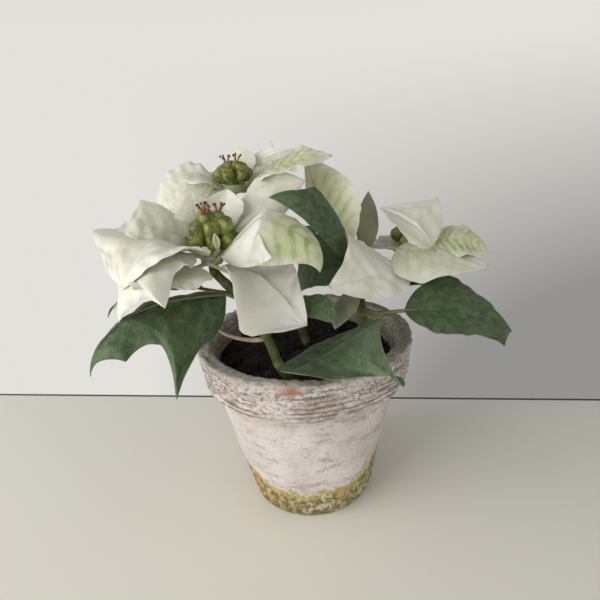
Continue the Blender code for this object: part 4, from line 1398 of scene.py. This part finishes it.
def slab(name, colour, roughness, back, front, high):
    """A slab of one colour along the table's back edge, from back to front of it and up to high, in mm."""
    look, tree, shader = new_look(name, roughness)
    paint(tree, shader, colour)
    left, right = np.array(TABLE_LEFT_BACK), np.array(TABLE_RIGHT_BACK)
    along = unit(right - left)
    ahead = np.array([along[1], -along[0]])
    first, last = left - along * TABLE_REACH, left + along * TABLE_REACH
    rim = np.array([first + ahead * back, last + ahead * back, last + ahead * front, first + ahead * front])
    points = np.array([(x, y, z) for z in (-TABLE_THICKNESS, high) for x, y in rim]) * MM
    faces = [[0, 1, 2, 3], [7, 6, 5, 4], [0, 4, 5, 1], [1, 5, 6, 2], [2, 6, 7, 3], [3, 7, 4, 0]]
    mesh = bpy.data.meshes.new(name)
    mesh.from_pydata(points.tolist(), [], faces)
    mesh.materials.append(look)
    made = linked(name, mesh)


slab("table", TABLE_CREAM, 0.6, 0.0, TABLE_REACH, 0.0)
# A dark strip along the table's back edge, a painted shadow.
slab("painted_shadow_strip", STRIP_DARK, 0.9, STRIP_BACK, STRIP_FRONT, STRIP_DROP)
print("table: its back edge runs from", TABLE_LEFT_BACK, "to", TABLE_RIGHT_BACK)

# %% [markdown]
# The window is a square area light. It is near and large, so its shadows are soft and its light falls off
# towards the right, as on the photographed table. A weak light from the front stands in for what the room
# throws back.

# %% Light
WINDOW_PLACE, WINDOW_AIM, WINDOW_SIZE, WINDOW_POWER = (-0.80, -0.45, 0.45), (0.0, 0.0, 0.11), 0.9, 8.6
ROOM_PLACE, ROOM_AIM, ROOM_SIZE, ROOM_POWER = (0.05, -1.10, 0.12), (0.0, 0.0, 0.12), 0.7, 4.5
DAYLIGHT = (1.0, 0.985, 0.955)


def placed(across, upward, back, spot):
    """A matrix whose columns are three directions and a place."""
    return Matrix(np.vstack([np.stack([across, upward, back, spot], 1), (0, 0, 0, 1)]).tolist())


def area_light(name, spot, aim, size, power):
    """A square soft light at a spot, turned to its aim."""
    lamp = bpy.data.lights.new(name, "AREA")
    lamp.size, lamp.energy, lamp.color = size, power, DAYLIGHT
    made = linked(name, lamp)
    back = unit(np.array(spot) - np.array(aim))
    across = unit(np.cross((0, 0, 1), back))
    made.matrix_world = placed(across, np.cross(back, across), back, spot)


area_light("window", WINDOW_PLACE, WINDOW_AIM, WINDOW_SIZE, WINDOW_POWER)
area_light("room", ROOM_PLACE, ROOM_AIM, ROOM_SIZE, ROOM_POWER)
print("lights: window", WINDOW_POWER, "W, room", ROOM_POWER, "W")

# %% [markdown]
# The pale wall behind the table is the world itself. It darkens to the right and low down, away from the
# window. A world with such a gradient also lights the plant from every side, as a room does.

# %% World
WALL_BRIGHT, WALL_FALL, WALL_LEAST = 0.77, -1.42, 0.30
WALL_WHITE = (1.0, 0.975, 0.925)

world = bpy.data.worlds.new("studio")
bpy.context.scene.world = world
world.use_nodes = True
sky = world.node_tree
way = add(sky, "SeparateXYZ", Vector=add(sky, "TexCoord").outputs["Generated"]).outputs
rightward = number(sky, "MAXIMUM", number(sky, "ADD", way[0], 0.3), 0.0)
downward = number(sky, "MAXIMUM", number(sky, "SUBTRACT", 0.1, way[2]), 0.0)
slope = scaled(sky, times(sky, rightward, downward), WALL_FALL, WALL_BRIGHT)
slope = number(sky, "MAXIMUM", slope, WALL_LEAST)
slope = times(sky, slope, fade(sky, way[2], 0.15, 0.5, 1.0, 0.42))
slope = times(sky, slope, fade(sky, way[1], -0.5, -0.1, 1.1, 1.0))
grey = mixed(sky, slope, (0.0, 0.0, 0.0), WALL_WHITE)
sky.links.new(grey, sky.nodes["Background"].inputs["Color"])
print("world:", len(sky.nodes), "nodes")

# %% [markdown]
# ## Camera
#
# The camera stands where the photograph was taken: near, above the rim, looking down, and held a little
# aslant. Its place and angles come from a least-squares fit to points that were read off the pot's outline.
# The fit takes the rim's size and the lens as given. The pot alone doesn't settle the lens, which was chosen.
# The matrix is built from three directions, so that the roll is easy to follow.

# %% The camera
CAMERA_PLACE = (-1.1, -248.5, 214.4)
CAMERA_DOWN = 21.08
CAMERA_ROLL = -3.5
SENSOR, LENS = 36.0, 29.1

down, tilt = math.radians(CAMERA_DOWN), math.radians(CAMERA_ROLL)
ahead = np.array([0.0, math.cos(down), -math.sin(down)])
level, plumb = np.array([1.0, 0.0, 0.0]), np.array([0.0, math.sin(down), math.cos(down)])
right = math.cos(tilt) * level + math.sin(tilt) * plumb
top = math.cos(tilt) * plumb - math.sin(tilt) * level
eye = np.array(CAMERA_PLACE) * MM
camera = linked("camera", bpy.data.cameras.new("camera"))
camera.data.sensor_width, camera.data.lens = SENSOR, LENS
camera.data.clip_start = 0.01
camera.matrix_world = placed(right, top, -ahead, eye)
bpy.context.scene.camera = camera
bpy.context.scene.view_settings.view_transform = "Standard"
print("camera:", [round(value, 4) for value in eye.tolist()], "m")
